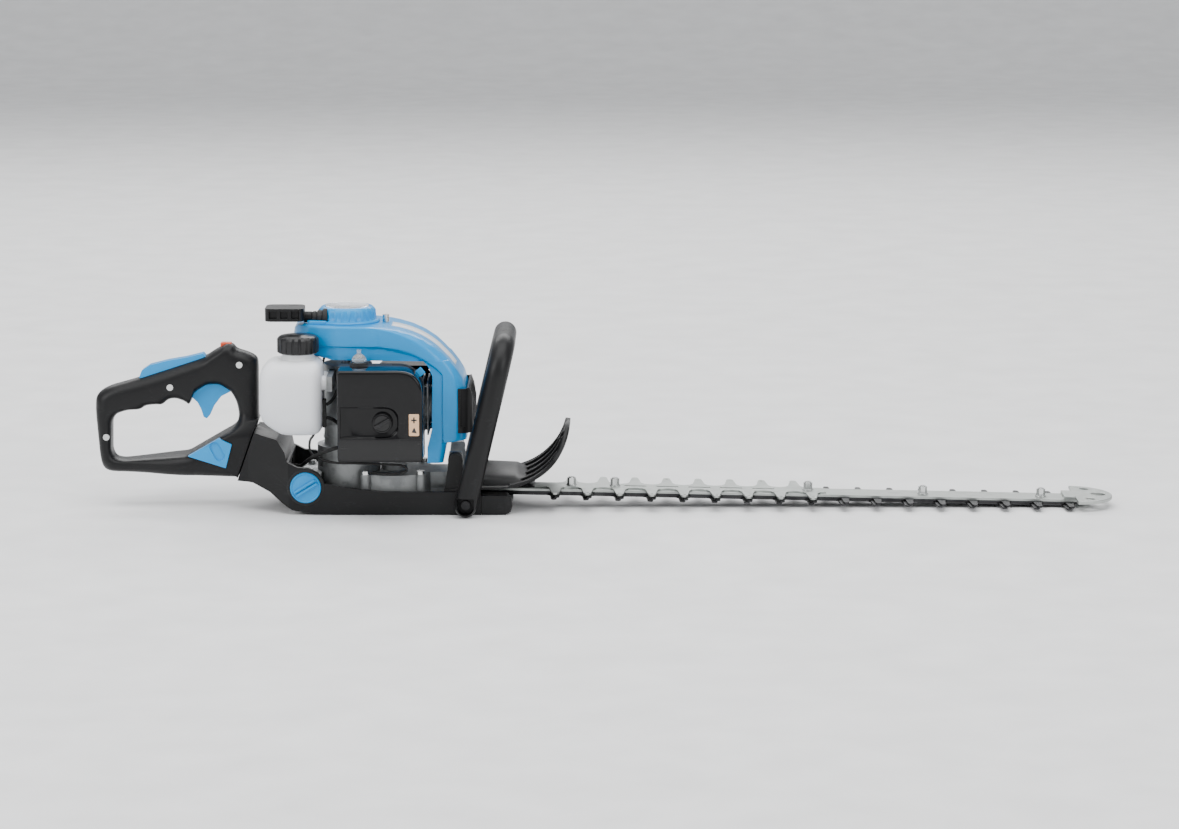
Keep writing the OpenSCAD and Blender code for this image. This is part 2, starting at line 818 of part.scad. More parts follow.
module gear_2d(teeth) {
    pitch_r = gear_module * teeth / 2;
    top_r = pitch_r + 0.85 * gear_module;
    root_r = pitch_r - 1.25 * gear_module;
    levels = [root_r, max(root_r, pitch_r * cos(20)), pitch_r, (pitch_r + top_r) / 2, top_r];
    polygon([for (k = [0 : teeth - 1]) for (side = [-1, 1]) for (i = [0 : 4])
        let(r = side < 0 ? levels[i] : levels[4 - i])
        let(a = k * 360 / teeth + side * tooth_half(r, pitch_r, teeth))
        r * [cos(a), sin(a)]]);
}

module clutch_drum() {
    color(c_steel) {
        difference() {
            union() {
                post(0, 0, drum_r, drum_z, drum_z + drum_h);
                post(0, 0, 7, gear_z + gear_face, drum_z + 1);
            }
            post(0, 0, drum_r - 2.5, drum_z + 3, drum_z + drum_h + 1);
        }
        translate([0, 0, gear_z]) linear_extrude(gear_face + 0.5) gear_2d(pinion_teeth);
    }
}

module crank_gear() {
    color(c_steel) {
        difference() {
            translate([gear_x, 0, gear_z]) rotate(180 / gear_teeth)
                linear_extrude(gear_face) gear_2d(gear_teeth);
            for (a = [0 : 60 : 300]) translate([gear_x, 0, 0]) rotate(a)
                post(24, 0, 7, gear_z - 1, gear_z + 20);
            post(gear_x, 0, gear_shaft_r, 0, 60);
        }
        post(gear_x, 0, gear_shaft_r, case_z + 2, case_top + 3);
    }
}

eye_r = 27;
disc_r = 22;
rod_t = 2;
rod_pin_x = -50;

// One blade rod with its eccentric; the eccentric is open around the gear shaft
module blade_rod(y_off, low) {
    eye_x = gear_x - root_x;
    color(c_steel) {
        difference() {
            union() {
                translate([eye_x, y_off, low]) cylinder(r = eye_r, h = rod_t);
                translate([eye_x, -8, low]) cube([rod_pin_x - eye_x, 16, rod_t]);
                translate([rod_pin_x, 0, low]) cylinder(r = 8, h = rod_t);
            }
            translate([eye_x, y_off, low - 1]) cylinder(r = disc_r, h = rod_t + 2);
            translate([rod_pin_x, 0, low - 1]) cylinder(r = 3, h = rod_t + 2);
        }
        difference() {
            translate([eye_x, y_off, low]) cylinder(r = disc_r, h = rod_t);
            translate([eye_x, 0, low - 1]) linear_extrude(rod_t + 2)
                slot_2d(2 * (half_stroke + gear_shaft_r + gap), gear_shaft_r + gap);
        }
    }
}

upper_low = -0.2 - blade_t;
lower_low = upper_low - 0.2 - blade_t;

module upper_rod() {
    at_blades() blade_rod(half_stroke, 0.2);
}

module lower_rod() {
    at_blades() blade_rod(-half_stroke, lower_low - 0.4 - rod_t);
}

// ---- Cutting bar ----

module tooth_2d(base, tip, reach, half_body) {
    root = base - tip;
    polygon([[-base / 2, half_body - 3], [-base / 2, half_body],
        [-base / 2 + root / 4, half_body + root / 10], [-base / 2 + root * 0.38,
        half_body + root / 3], [-tip / 2, reach - tip / 3], [-tip / 4, reach], [tip / 4, reach],
        [tip / 2, reach - tip / 3], [base / 2 - root * 0.38, half_body + root / 3],
        [base / 2 - root / 4, half_body + root / 10], [base / 2, half_body],
        [base / 2, half_body - 3]]);
}

// Teeth along both sides, the far side half a pitch ahead
module teeth_2d(count, base, tip, reach, half_body) {
    for (k = [0 : count - 1]) translate([first_tooth + k * tooth_pitch, 0]) {
        mirror([0, 1]) tooth_2d(base, tip, reach, half_body);
        if (k < count - 1) translate([tooth_pitch / 2, 0])
            tooth_2d(base, tip, reach, half_body);
    }
}

blade_tail = -62;
blade_end = first_tooth + tooth_pitch * (tooth_count - 1) + 8;

module blade_2d(shift) {
    difference() {
        union() {
            translate([blade_tail, -bar_w / 2]) square([blade_end - blade_tail, bar_w]);
            translate([shift, 0]) teeth_2d(tooth_count, 17, 6, blade_w / 2, bar_w / 2);
        }
        for (x = bolt_at) translate([x, 0])
            slot_2d(2 * (half_stroke + bush_r + gap), bush_r + 0.3);
        translate([rod_pin_x, 0]) circle(3);
    }
}

module upper_blade() {
    color(c_dark) at_blades() {
        translate([0, 0, upper_low]) linear_extrude(blade_t) blade_2d(1.5);
        translate([rod_pin_x, 0, upper_low]) cylinder(r = 3, h = 0.2 + blade_t + 0.2 + rod_t);
    }
}

module lower_blade() {
    color(c_dark) at_blades() {
        translate([0, 0, lower_low]) linear_extrude(blade_t) blade_2d(-1.5);
        translate([rod_pin_x, 0, lower_low - 0.4 - rod_t]) cylinder(r = 3,
            h = 0.4 + blade_t + rod_t);
    }
}

module bolt_holes(r) {
    for (x = bolt_at) translate([x, 0]) circle(r);
}

module guide_bar() {
    color(c_dark) at_blades() linear_extrude(bar_t) difference() {
        translate([-32, -bar_w / 2]) square([bar_end + 32, bar_w]);
        bolt_holes(3);
        translate([-25, 0]) circle(screw_r);
    }
}

spine = 10.5;

module guard_plate() {
    start = bolt_at[0] - 8;
    color(c_steel) at_blades() translate([0, 0, bar_t]) difference() {
        union() {
            translate([start, -spine, 0]) cube([guard_end - start, 2 * spine, guard_t]);
            linear_extrude(guard_t) teeth_2d(guard_count, 32, 7, guard_w / 2, spine);
        }
        translate([0, 0, -1]) linear_extrude(guard_t + 2) guard_holes_2d();
    }
}

module guard_holes_2d() {
    bolt_holes(3);
    for (k = [2 : guard_count - 3]) translate([first_tooth + (k + 0.5) * tooth_pitch, 0])
        slot_2d(25, 2);
    for (k = [0 : guard_count - 1]) translate([first_tooth + k * tooth_pitch, 6 - guard_w / 2])
        circle(1.6);
    for (k = [0 : 3 : guard_count - 2]) translate([first_tooth + (k + 0.5) * tooth_pitch,
        guard_w / 2 - 6]) circle(1.6);
}

tip_len = 42;
tip_r = 43.5;

module tip_plate() {
    color(c_dark) at_blades() translate([bar_end - 14, 0, bar_t]) linear_extrude(3.5)
        difference() {
            union() {
                polygon([for (a = [-90 : 6 : 90]) [tip_len * cos(a), tip_r * sin(a)]]);
                translate([-12, -bar_w / 2]) square([13, bar_w]);
            }
            translate([27, 0]) circle(8);
            for (side = [-1, 1]) translate([15, side * 27]) circle(5);
        }
}

module blade_bolts() {
    color(c_zinc) at_blades() for (i = [0 : len(bolt_at) - 1]) translate([bolt_at[i], 0, 0]) {
        top = bolt_at[i] < guard_end ? bar_t + guard_t : bar_t;
        translate([0, 0, lower_low - 0.2 - 2]) cylinder(r = 5.5, h = 2);
        translate([0, 0, lower_low - 0.2]) cylinder(r = bush_r, h = -lower_low + 0.2);
        cylinder(r = 3, h = top + (i == 0 ? 4 : 9));
    }
}

module blade_nuts() {
    color(c_zinc) at_blades() for (i = [0 : len(bolt_at) - 1]) translate([bolt_at[i], 0, 0])
    difference() {
        top = bolt_at[i] < guard_end ? bar_t + guard_t : bar_t;
        translate([0, 0, top]) union() {
            cylinder(r = 6, h = 1);
            translate([0, 0, 1]) cylinder(r = 4.8, h = i == 0 ? 2.6 : 7, $fn = 6);
        }
        cylinder(r = 3, h = 30);
    }
}

// ---- Cables and lines ----

function unit(v) = v / norm(v);

// Smooth route through hand-chosen points, a few steps to each stretch
function spline(p, steps) = [for (i = [0 : len(p) - 2]) for (s = [0 : steps - 1])
    let(a = p[max(i - 1, 0)], b = p[i], c = p[i + 1], d = p[min(i + 2, len(p) - 1)], t = s / steps)
    0.5 * (2 * b + (c - a) * t + (2 * a - 5 * b + 4 * c - d) * t * t
        + (3 * b - a - 3 * c + d) * t * t * t), p[len(p) - 1]];

function ring_at(p, i, r, n, ref) =
    let(t = unit(p[min(i + 1, len(p) - 1)] - p[max(i - 1, 0)]), u = unit(cross(t, ref)),
        v = cross(t, u))
    [for (k = [0 : n - 1]) p[i] + r * (cos(360 * k / n) * u + sin(360 * k / n) * v)];

// Tube swept along a route, with flat ends
module tube_along(p, r, ref = [0.3, 1, 0.2], n = 8) {
    last = len(p) - 1;
    points = [for (i = [0 : last]) each ring_at(p, i, r, n, ref)];
    sides = [for (i = [0 : last - 1]) for (k = [0 : n - 1]) let(m = (k + 1) % n)
        [i * n + k, i * n + m, (i + 1) * n + m, (i + 1) * n + k]];
    polyhedron(points, concat(sides, [[for (k = [0 : n - 1]) n - 1 - k]],
        [[for (k = [0 : n - 1]) last * n + k]]));
}

cable_route = [[-85, 0, 52.7], [-72, 0, 48.1], [-60, -3, 44.5], [-50, -16, 47], [-42, -32, 56],
    [-26, -42, 66], [0, -43, 74], [30, -40, 78], [46, -39.4, 83], [52, -39.4, 95.5]];
wire_route = [[-26, 30, 165], [-32, 34, 140], [-34, 34, 100], [-38, 16, 78], [-42, -8, 72],
    [-38, -30, 62], [-16, -45, 56], [14, -46, 55], [44, -47, 54], [60, -48, 53], [66, -48, 48.8],
    [60, -48, 44.6], [44, -45, 43.6], [26, -41, 43.6]];
fuel_route = [[-19.4, -60, 108], [-14, -58, 106], [-9, -46.5, 100], [0, -45.4, 92],
    [20, -45.4, 88], [44, -45.4, 88], [55.9, -45.4, 91]];
return_route = [[-19.4, -60, 122], [-15, -59, 125], [-11, -50, 130], [-7, -44, 138],
    [4, -42, 150], [13, -42.5, 159], [16, -45, 161], [16, -47.9, 161]];

module throttle_cable() {
    color(c_rubber) tube_along(spline(cable_route, 3), 2.2);
}

module stop_wires() {
    color(c_rubber) tube_along(spline(wire_route, 3), 1.4);
}

module fuel_lines() {
    color(c_rubber) {
        tube_along(spline(fuel_route, 3), 2);
        tube_along(spline(return_route, 3), 1.8);
    }
}

// ---- Fuel tank ----

tank_right = tank_x + tank_l;

module tank_side() {
    polygon([[tank_x, 112], [tank_x, 152], [tank_x + 3, 161], [tank_x + 9, 167],
        [tank_x + 16, tank_top], [tank_right - 8, tank_top], [tank_right - 2, 164],
        [tank_right, 156], [tank_right, 100], [tank_right - 3, 94],
        [tank_right - 10, tank_low], [tank_x + 27, tank_low], [tank_x + 21, 92]]);
}

module tank_body(inset) {
    h = tank_top - tank_low - 2 * inset;
    intersection() {
        side_plate(-120, 60) offset(delta = -inset) tank_side();
        translate([-150, tank_y, (tank_top + tank_low) / 2]) rotate([90, 0, 90])
            linear_extrude(200) round_rect(tank_w - 2 * inset, h, 16 - inset);
    }
}

tank_boss_y = [-62, -34];
boss_z = 146;

module fuel_tank() {
    color(c_tank) difference() {
        union() {
            tank_body(0);
            post(cap_x, cap_y, neck_r, tank_top - 6, 190);
            for (y = tank_boss_y) along_x(y, boss_z, 7.5, tank_right - 1, tank_right + 5);
        }
        tank_body(tank_wall);
        post(cap_x, cap_y, neck_r - 2, tank_top - 6, 191);
        along_x(-60, 114, 5, tank_right - 4, tank_right + 6);
    }
}

module fuel_cap() {
    low = 177;
    color(c_black) difference() {
        union() {
            post(cap_x, cap_y, fuel_cap_r - 1, low, low + 17);
            for (k = [0 : 19]) translate([cap_x, cap_y, low + 1]) rotate(k * 18)
                translate([fuel_cap_r - 3, -2, 0]) cube([3, 4, 15]);
            post(cap_x, cap_y, fuel_cap_r - 4, low + 17, low + 18.5);
            post(cap_x, cap_y, 10, low + 18.5, low + 20);
        }
        post(cap_x, cap_y, neck_r + gap, low - 1, low + 14);
    }
}

module tank_grommet() {
    color(c_rubber) {
        along_x(-60, 114, 5, tank_right - tank_wall, tank_right);
        translate([tank_right, -66, 98]) cube([3.5, 12, 30]);
    }
}

// ---- Front handle and hand guard ----

module in_handle_plane() {
    translate([foot[0], 0, foot[1]]) rotate([0, lean, 0]) children();
}

module front_handle() {
    color(c_black) difference() {
        union() {
            in_handle_plane() {
                for (side = [-1, 1]) {
                    translate([0, side * leg_y, 0]) cylinder(r = tube_r, h = leg_len - corner_r);
                    translate([0, side * leg_y, 0]) sphere(r = tube_r);
                    translate([0, side * (leg_y - corner_r), leg_len - corner_r])
                        rotate([90, 0, 90]) rotate(side > 0 ? 0 : 90)
                            rotate_extrude(angle = 90) translate([corner_r, 0]) circle(tube_r);
                }
                translate([0, leg_y - corner_r, leg_len]) rotate([90, 0, 0])
                    cylinder(r = tube_r, h = 2 * (leg_y - corner_r));
            }
            for (side = [-1, 1]) cross_pin(foot[0], foot[1], 11,
                side > 0 ? base_half_w : -leg_y + 2, side > 0 ? leg_y - 2 : -base_half_w);
        }
        // Screw pockets, open outwards
        for (side = [-1, 1]) {
            y_low = side > 0 ? leg_y - 7 : -leg_y - 20;
            cross_pin(foot[0], foot[1], 9.3, y_low, y_low + 27);
            translate([foot[0] - 9.3, y_low, foot[1]]) cube([18.6, 27, 10]);
            cross_pin(foot[0], foot[1], screw_r, side * 60 - 10, side * 60 + 10);
        }
    }
}

module front_handle_bolts() {
    color(c_zinc) for (side = [-1, 1]) {
        y_in = base_half_w - 6;
        y_out = leg_y - 7;
        cross_pin(foot[0], foot[1], screw_r, side > 0 ? y_in : -y_out, side > 0 ? y_out : -y_in);
        cross_pin(foot[0], foot[1], 5, side > 0 ? y_out : -y_out - 4,
            side > 0 ? y_out + 4 : -y_out);
    }
}

guard_c = [168, 103.5];
guard_r = 75;
guard_wall = 3;

function arc(c, r, a0, a1, n) = [for (i = [0 : n]) let(a = a0 + (a1 - a0) * i / n)
    c + r * [sin(a), -cos(a)]];

module guard_sweep(r_out, r_in, start, end) {
    polygon(concat(arc(guard_c, r_out, start, end, 16), arc(guard_c, r_in, end, start, 16)));
}

// Front view of the guard: full width low down, narrowing to a round top
module guard_front() {
    polygon([[-57, 20], [-57, 40], [-57, 48], [-54, 58], [-46, 70], [-37, 81], [-27, 89],
        [-14, 94.5], [0, 96], [14, 94.5], [27, 89], [37, 81], [46, 70], [54, 58], [57, 48],
        [57, 40], [57, 20]]);
}

module hand_guard() {
    low = guard_c[1] - guard_r;
    pad_z = 25;
    color(c_black) {
        intersection() {
            side_plate(-70, 70) {
                guard_sweep(guard_r, guard_r - guard_wall, 0, 84);
                translate([base_front - 46, low]) square([guard_c[0] - base_front + 46.5,
                    guard_wall]);
            }
            translate([100, 0, 0]) rotate([90, 0, 90]) linear_extrude(200) guard_front();
        }
        for (y = [-42, -14, 14, 42]) intersection() {
            side_plate(y - 1.5, y + 1.5) guard_sweep(guard_r - 2, guard_r - 7, 12, 78);
            translate([100, 0, 0]) rotate([90, 0, 90]) linear_extrude(200) guard_front();
        }
        // Hump over the bar's clamp
        intersection() {
            side_plate(-60, 60) polygon([[136, low + 1], [136, low + 17], [186, low + 16],
                [197, low + 10], [201, low + 7]]);
            translate([100, 0, 0]) rotate([90, 0, 90]) linear_extrude(120)
                polygon([[-46, low + 1], [-24, low + 17], [38, low + 17], [54, low + 1]]);
        }
        for (side = [-1, 1]) translate([base_front - 46, side > 0 ? 44 : -55, pad_z])
            cube([11.6, 11, low - pad_z + 1]);
    }
}

// ---- Rear handle ----

module handle_outline() {
    polygon([[-275.5, 116], [-273.5, 123], [-264.5, 131], [-230, 141], [-153.5, 166],
        [-146.5, 171], [-137, 176], [-131.5, 180.5], [-124, 179], [-120.5, 173.5], [-108, 170],
        [-99, 165], [-100.5, 159], [-100.5, 93], [-90, 90], [-90, 33], [-122, 34.5],
        [-260.5, 38.4], [-267, 42], [-270, 52]]);
}

module handle_opening() {
    polygon([[-257.5, 97], [-252, 103], [-239.5, 106.8], [-226, 107.3], [-220.5, 111.8],
        [-209, 113], [-202, 112.5], [-195.5, 118.8], [-187, 120], [-177, 116.2], [-172.7, 112],
        [-167.3, 126], [-153.5, 135], [-140, 135], [-127, 127.5], [-121.5, 116], [-118.5, 102],
        [-119.5, 95], [-124, 88.4], [-176, 58], [-245.4, 51.8], [-255, 55], [-258.5, 61]]);
}

module handle_solid(inset) {
    w = grip_half_w - inset;
    f = 28 - inset;
    intersection() {
        side_plate(-40, 40) offset(delta = -inset) difference() {
            handle_outline();
            handle_opening();
        }
        linear_extrude(200) polygon([[-290, -w], [-248, -w], [-176, -f], [-80, -f], [-80, f],
            [-176, f], [-248, w], [-290, w]]);
        translate([-300, 0, 0]) rotate([90, 0, 90]) linear_extrude(250) polygon([[-f, 0],
            [-f, 78], [-w - 1, 106], [-w, 200], [w, 200], [w + 1, 106], [f, 78], [f, 0]]);
    }
}

// Everything behind the swivel seam
module behind_seam(back) {
    difference() {
        children();
        at_swivel() translate([-150, -100, back]) cube([300, 200, 400]);
    }
}

trigger_pin = [-133, 137];
lockout_pin = [-160, 157];
handle_screw_at = [[-116.8, 157.8], [-192.5, 133], [-263, 78]];
pin_r = 2.5;
cord_bore_r = 5;

module handle_half(side) {
    y_low = side > 0 ? 0 : -60;
    difference() {
        intersection() {
            union() {
                difference() {
                    behind_seam(-swivel_half_gap) handle_solid(0);
                    behind_seam(-swivel_half_gap - grip_wall) handle_solid(grip_wall);
                }
                // Swivel flange and hub
                at_swivel() translate([0, 0, -swivel_half_gap - grip_wall])
                    cylinder(r = swivel_r - 2.5, h = grip_wall);
                at_swivel() translate([0, 0, -8]) cylinder(r = hub_r, h = 30);
                intersection() {
                    behind_seam(-swivel_half_gap) handle_solid(1);
                    union() {
                        for (p = handle_screw_at) cross_pin(p[0], p[1], 4.5, -30, 30);
                    }
                }
                cross_pin(trigger_pin[0], trigger_pin[1], pin_r, -grip_half_w + 1,
                    grip_half_w - 1);
                cross_pin(lockout_pin[0], lockout_pin[1], pin_r, -grip_half_w + 1,
                    grip_half_w - 1);
            }
            translate([-400, y_low, 0]) cube([400, 60, 300]);
        }
        // Groove for the swivel ring and bore for the cable
        at_swivel() translate([0, 0, 11.7]) difference() {
            cylinder(r = hub_r + 5, h = 3.6);
            translate([0, 0, -1]) cylinder(r = hub_r - 3, h = 6);
        }
        at_swivel() translate([0, 0, -40]) cylinder(r = cord_bore_r, h = 80);
        // Screw bores with sunk heads
        for (p = handle_screw_at) {
            cross_pin(p[0], p[1], 1.75, -40, 12);
            cross_pin(p[0], p[1], 3.6, -40, -grip_half_w + 1.6);
        }
        // Slots for the trigger, the lockout lever and the stop switch
        trigger_slot();
        lockout_slot();
        translate([-146, -5, 165]) cube([21, 10, 30]);
        // Seat of the swivel lock lever
        if (side < 0) side_plate(-40, -22) offset(delta = 0.6) lock_track();
    }
}

module trigger_slot() {
    difference() {
        translate([-179, -6.5, 96]) cube([54, 13, 46]);
        for (p = [trigger_pin]) cross_pin(p[0], p[1], pin_r, -20, 20);
    }
}

module lockout_slot() {
    difference() {
        side_plate(-7.5, 7.5) polygon([[-231, 134], [-150, 158], [-150, 175], [-231, 160]]);
        cross_pin(lockout_pin[0], lockout_pin[1], pin_r, -20, 20);
    }
}

module lock_shape() {
    polygon([[-139.3, 79], [-125, 72.5], [-132, 46.5], [-173, 59.5]]);
}

module lock_track() {
    lock_shape();
    translate([-8, 0]) lock_shape();
    polygon([[-139.3, 79], [-147.3, 79], [-181, 59.5], [-173, 59.5]]);
    polygon([[-132, 46.5], [-140, 46.5], [-181, 59.5], [-173, 59.5]]);
}

module handle_half_right() {
    color(c_black) handle_half(-1);
}

module handle_half_left() {
    color(c_black) handle_half(1);
}

module handle_screws() {
    color(c_zinc) for (p = handle_screw_at) {
        cross_pin(p[0], p[1], 1.75, -grip_half_w + 1.6, 12);
        cross_pin(p[0], p[1], 3.5, -grip_half_w - 0.6, -grip_half_w + 1.6);
    }
}

module swivel_ring() {
    color(c_steel) at_swivel() translate([0, 0, 12]) difference() {
        cylinder(r = hub_r + 5, h = 3);
        translate([0, 0, -1]) cylinder(r = hub_r - 3 + fit, h = 5);
    }
}

module trigger() {
    color(c_blue) difference() {
        side_plate(-5.8, 5.8) polygon([[-171.5, 122], [-163, 131], [-150, 138], [-138, 143],
            [-129, 143], [-126.5, 137], [-127.5, 127], [-138, 121.5], [-146, 111],
            [-150.5, 101], [-154, 97], [-157.5, 98.5], [-160, 107], [-164, 115]]);
        cross_pin(trigger_pin[0], trigger_pin[1], pin_r + fit, -10, 10);
    }
}

module lockout_lever() {
    color(c_blue) difference() {
        side_plate(-7, 7) polygon([[-227, 142.5], [-224, 150], [-215, 156], [-195.5, 161],
            [-175, 164.5], [-157, 169], [-153.5, 165], [-156, 152.5], [-163, 152.5],
            [-180, 150.5], [-222, 139]]);
        cross_pin(lockout_pin[0], lockout_pin[1], pin_r + fit, -10, 10);
    }
}

module stop_switch() {
    color("orangered") translate([-138, -4.5, 171]) cube([12, 9, 9.5]);
}

module swivel_lock() {
    color(c_blue) difference() {
        side_plate(-30.5, -22.5) lock_shape();
        side_plate(-31, -28.5) translate([-141, 65]) rotate(-62) slot_2d(22, 5.5);
    }
}

base_tray();
front_foot();
side_caps();
rubber_mounts();
gear_case();
gear_case_cover();
machine_screws();
bearings();
crankcase();
cylinder_node();  // cylinder
spark_plug();
plug_cap();
muffler();
muffler_guard();
carburettor();
throttle_cable();
air_cleaner_base();
filter_foam();
air_cleaner_cover();
engine_shroud();
starter_housing();
front_grille();
ignition_coil();
stop_wires();
fuel_tank();
tank_grommet();
fuel_lines();
front_handle();
front_handle_bolts();
hand_guard();
guide_bar();
guard_plate();
tip_plate();
blade_bolts();
blade_nuts();
swivel_ring();
handle_half_right();
handle_half_left();
handle_screws();
trigger();
lockout_lever();
stop_switch();
swivel_lock();
fuel_cap();
cover_knob();
choke_lever();
primer_bulb();
starter_grip();
recoil_pulley();
crankshaft();
flywheel();
clutch_shoes();
clutch_drum();
crank_gear();
piston();
connecting_rod();
upper_rod();
lower_rod();
upper_blade();
lower_blade();
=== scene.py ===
"""Looks of a two-sided petrol hedge trimmer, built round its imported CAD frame."""

import json
import logging
import math
from dataclasses import dataclass
from enum import Enum

import bmesh
import bpy
import numpy as np
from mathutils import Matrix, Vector

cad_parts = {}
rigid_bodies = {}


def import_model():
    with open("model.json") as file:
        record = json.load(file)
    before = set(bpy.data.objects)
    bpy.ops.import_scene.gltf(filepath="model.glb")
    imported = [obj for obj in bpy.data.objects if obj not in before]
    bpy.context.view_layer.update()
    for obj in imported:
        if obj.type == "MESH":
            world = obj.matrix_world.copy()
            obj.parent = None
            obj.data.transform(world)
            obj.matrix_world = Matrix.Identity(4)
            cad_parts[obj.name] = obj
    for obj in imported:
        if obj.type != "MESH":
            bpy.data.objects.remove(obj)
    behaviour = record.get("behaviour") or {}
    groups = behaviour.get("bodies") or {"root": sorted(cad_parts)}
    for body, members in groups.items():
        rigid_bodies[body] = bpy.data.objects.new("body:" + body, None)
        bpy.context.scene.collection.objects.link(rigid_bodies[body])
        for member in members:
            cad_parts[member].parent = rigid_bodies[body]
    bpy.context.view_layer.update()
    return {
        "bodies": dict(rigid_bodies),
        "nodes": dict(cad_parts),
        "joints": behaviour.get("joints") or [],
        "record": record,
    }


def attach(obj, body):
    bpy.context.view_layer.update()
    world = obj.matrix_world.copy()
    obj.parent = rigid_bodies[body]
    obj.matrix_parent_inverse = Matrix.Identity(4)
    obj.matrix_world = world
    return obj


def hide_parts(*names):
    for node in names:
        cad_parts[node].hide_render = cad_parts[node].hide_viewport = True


LOG = logging.getLogger("hedge_trimmer")
MM = 0.001


# ---------------------------------------------------------------- shader maths


class Val:
    """A shader value: arithmetic on it adds Math nodes to its graph."""

    def __init__(self, graph: "Graph", socket: bpy.types.NodeSocket) -> None:
        """Keeps the graph and the output socket that carries the value."""
        self.graph = graph
        self.socket = socket

    def _op(self, name: str, *values: object) -> "Val":
        """One Math node of the named operation on these values."""
        made = self.graph.node("ShaderNodeMath", {"operation": name}, dict(enumerate(values)))
        return Val(self.graph, made.outputs[0])

    def __add__(self, other: object) -> "Val":
        """self + other."""
        return self._op("ADD", self, other)

    def __sub__(self, other: object) -> "Val":
        """self - other."""
        return self._op("SUBTRACT", self, other)

    def __rsub__(self, other: object) -> "Val":
        """other - self."""
        return self._op("SUBTRACT", other, self)

    def __mul__(self, other: object) -> "Val":
        """self * other."""
        return self._op("MULTIPLY", self, other)

    __radd__ = __add__
    __rmul__ = __mul__

    def power(self, exponent: float) -> "Val":
        """self to a power."""
        return self._op("POWER", self, exponent)

    def above(self, edge: float, soft: float) -> "Val":
        """0 below edge, 1 above edge + soft, smooth in between."""
        made = self.graph.node(
            "ShaderNodeMapRange",
            {"interpolation_type": "SMOOTHSTEP"},
            {"Value": self, "From Min": edge, "From Max": edge + soft},
        )
        return Val(self.graph, made.outputs[0])


class Graph:
    """One material's node tree, from its Principled shader outwards."""

    def __init__(self, name: str) -> None:
        """Makes an empty material with a Principled shader on its output.

        Args:
            name: the material's name.
        """
        self.material = bpy.data.materials.new(name)
        self.material.use_nodes = True
        self.tree = self.material.node_tree
        self.tree.nodes.clear()
        self.shader = self.node("ShaderNodeBsdfPrincipled")
        output = self.node("ShaderNodeOutputMaterial")
        self.tree.links.new(self.shader.outputs[0], output.inputs["Surface"])
        self.place = self.node("ShaderNodeTexCoord").outputs["Object"]

    def node(
        self, kind: str, settings: dict | None = None, sockets: dict | None = None
    ) -> bpy.types.Node:
        """Adds a node.

        Args:
            kind: the node's type name.
            settings: attributes set before the sockets, such as an operation.
            sockets: values or links by socket name or number.

        Returns:
            The new node.
        """
        made = self.tree.nodes.new(kind)
        for key, value in (settings or {}).items():
            setattr(made, key, value)
        for key, value in (sockets or {}).items():
            self.feed(made.inputs[key], value)
        return made

    def feed(self, socket: bpy.types.NodeSocket, value: object) -> None:
        """Links a Val or a socket into a socket, or sets its own value."""
        if isinstance(value, Val):
            self.tree.links.new(value.socket, socket)
        elif isinstance(value, bpy.types.NodeSocket):
            self.tree.links.new(value, socket)
        else:
            socket.default_value = value

    def noise(self, scale: float, detail: float = 3.0, stretch: tuple = (1, 1, 1)) -> Val:
        """Noise on Object coordinates.

        Args:
            scale: cells to the metre.
            detail: octaves of finer noise.
            stretch: scale along each axis, for brushed or rolled metal.

        Returns:
            The noise, from 0 to 1 about 0.5.
        """
        turned = self.node("ShaderNodeMapping", {}, {"Vector": self.place, "Scale": stretch})
        made = self.node(
            "ShaderNodeTexNoise",
            {},
            {"Vector": turned.outputs[0], "Scale": scale, "Detail": detail},
        )
        return Val(self, made.outputs[0])

    def pits(self, scale: float) -> Val:
        """Distance to the nearest cell centre of a Voronoi pattern on Object coordinates."""
        made = self.node("ShaderNodeTexVoronoi", {}, {"Vector": self.place, "Scale": scale})
        return Val(self, made.outputs["Distance"])

    def blend(self, factor: Val, first: tuple, second: tuple) -> bpy.types.NodeSocket:
        """Mixes two colours.

        Args:
            factor: 0 gives first, 1 gives second.
            first: colour with three parts, or a colour socket.
            second: colour with three parts, or a colour socket.

        Returns:
            The mixed colour's socket.
        """
        made = self.node("ShaderNodeMix", {"data_type": "RGBA"}, {0: factor})
        for key, colour in ((6, first), (7, second)):
            self.feed(made.inputs[key], (*colour, 1) if isinstance(colour, tuple) else colour)
        return made.outputs[2]

    def bump(self, height: Val, depth: float, strength: float = 1.0) -> None:
        """Feeds a Bump node of that depth in metres into the shader's Normal."""
        made = self.node(
            "ShaderNodeBump", {}, {"Height": height, "Distance": depth, "Strength": strength}
        )
        self.feed(self.shader.inputs["Normal"], made.outputs[0])

    def set(self, **sockets: object) -> None:
        """Sets the shader's sockets; an underscore in a name stands for a space."""
        for key, value in sockets.items():
            name = "IOR" if key == "IOR" else key.replace("_", " ")
            if isinstance(value, tuple) and name != "Subsurface Radius":
                value = (*value, 1)
            self.feed(self.shader.inputs[name], value)


# ---------------------------------------------------------------- finishes


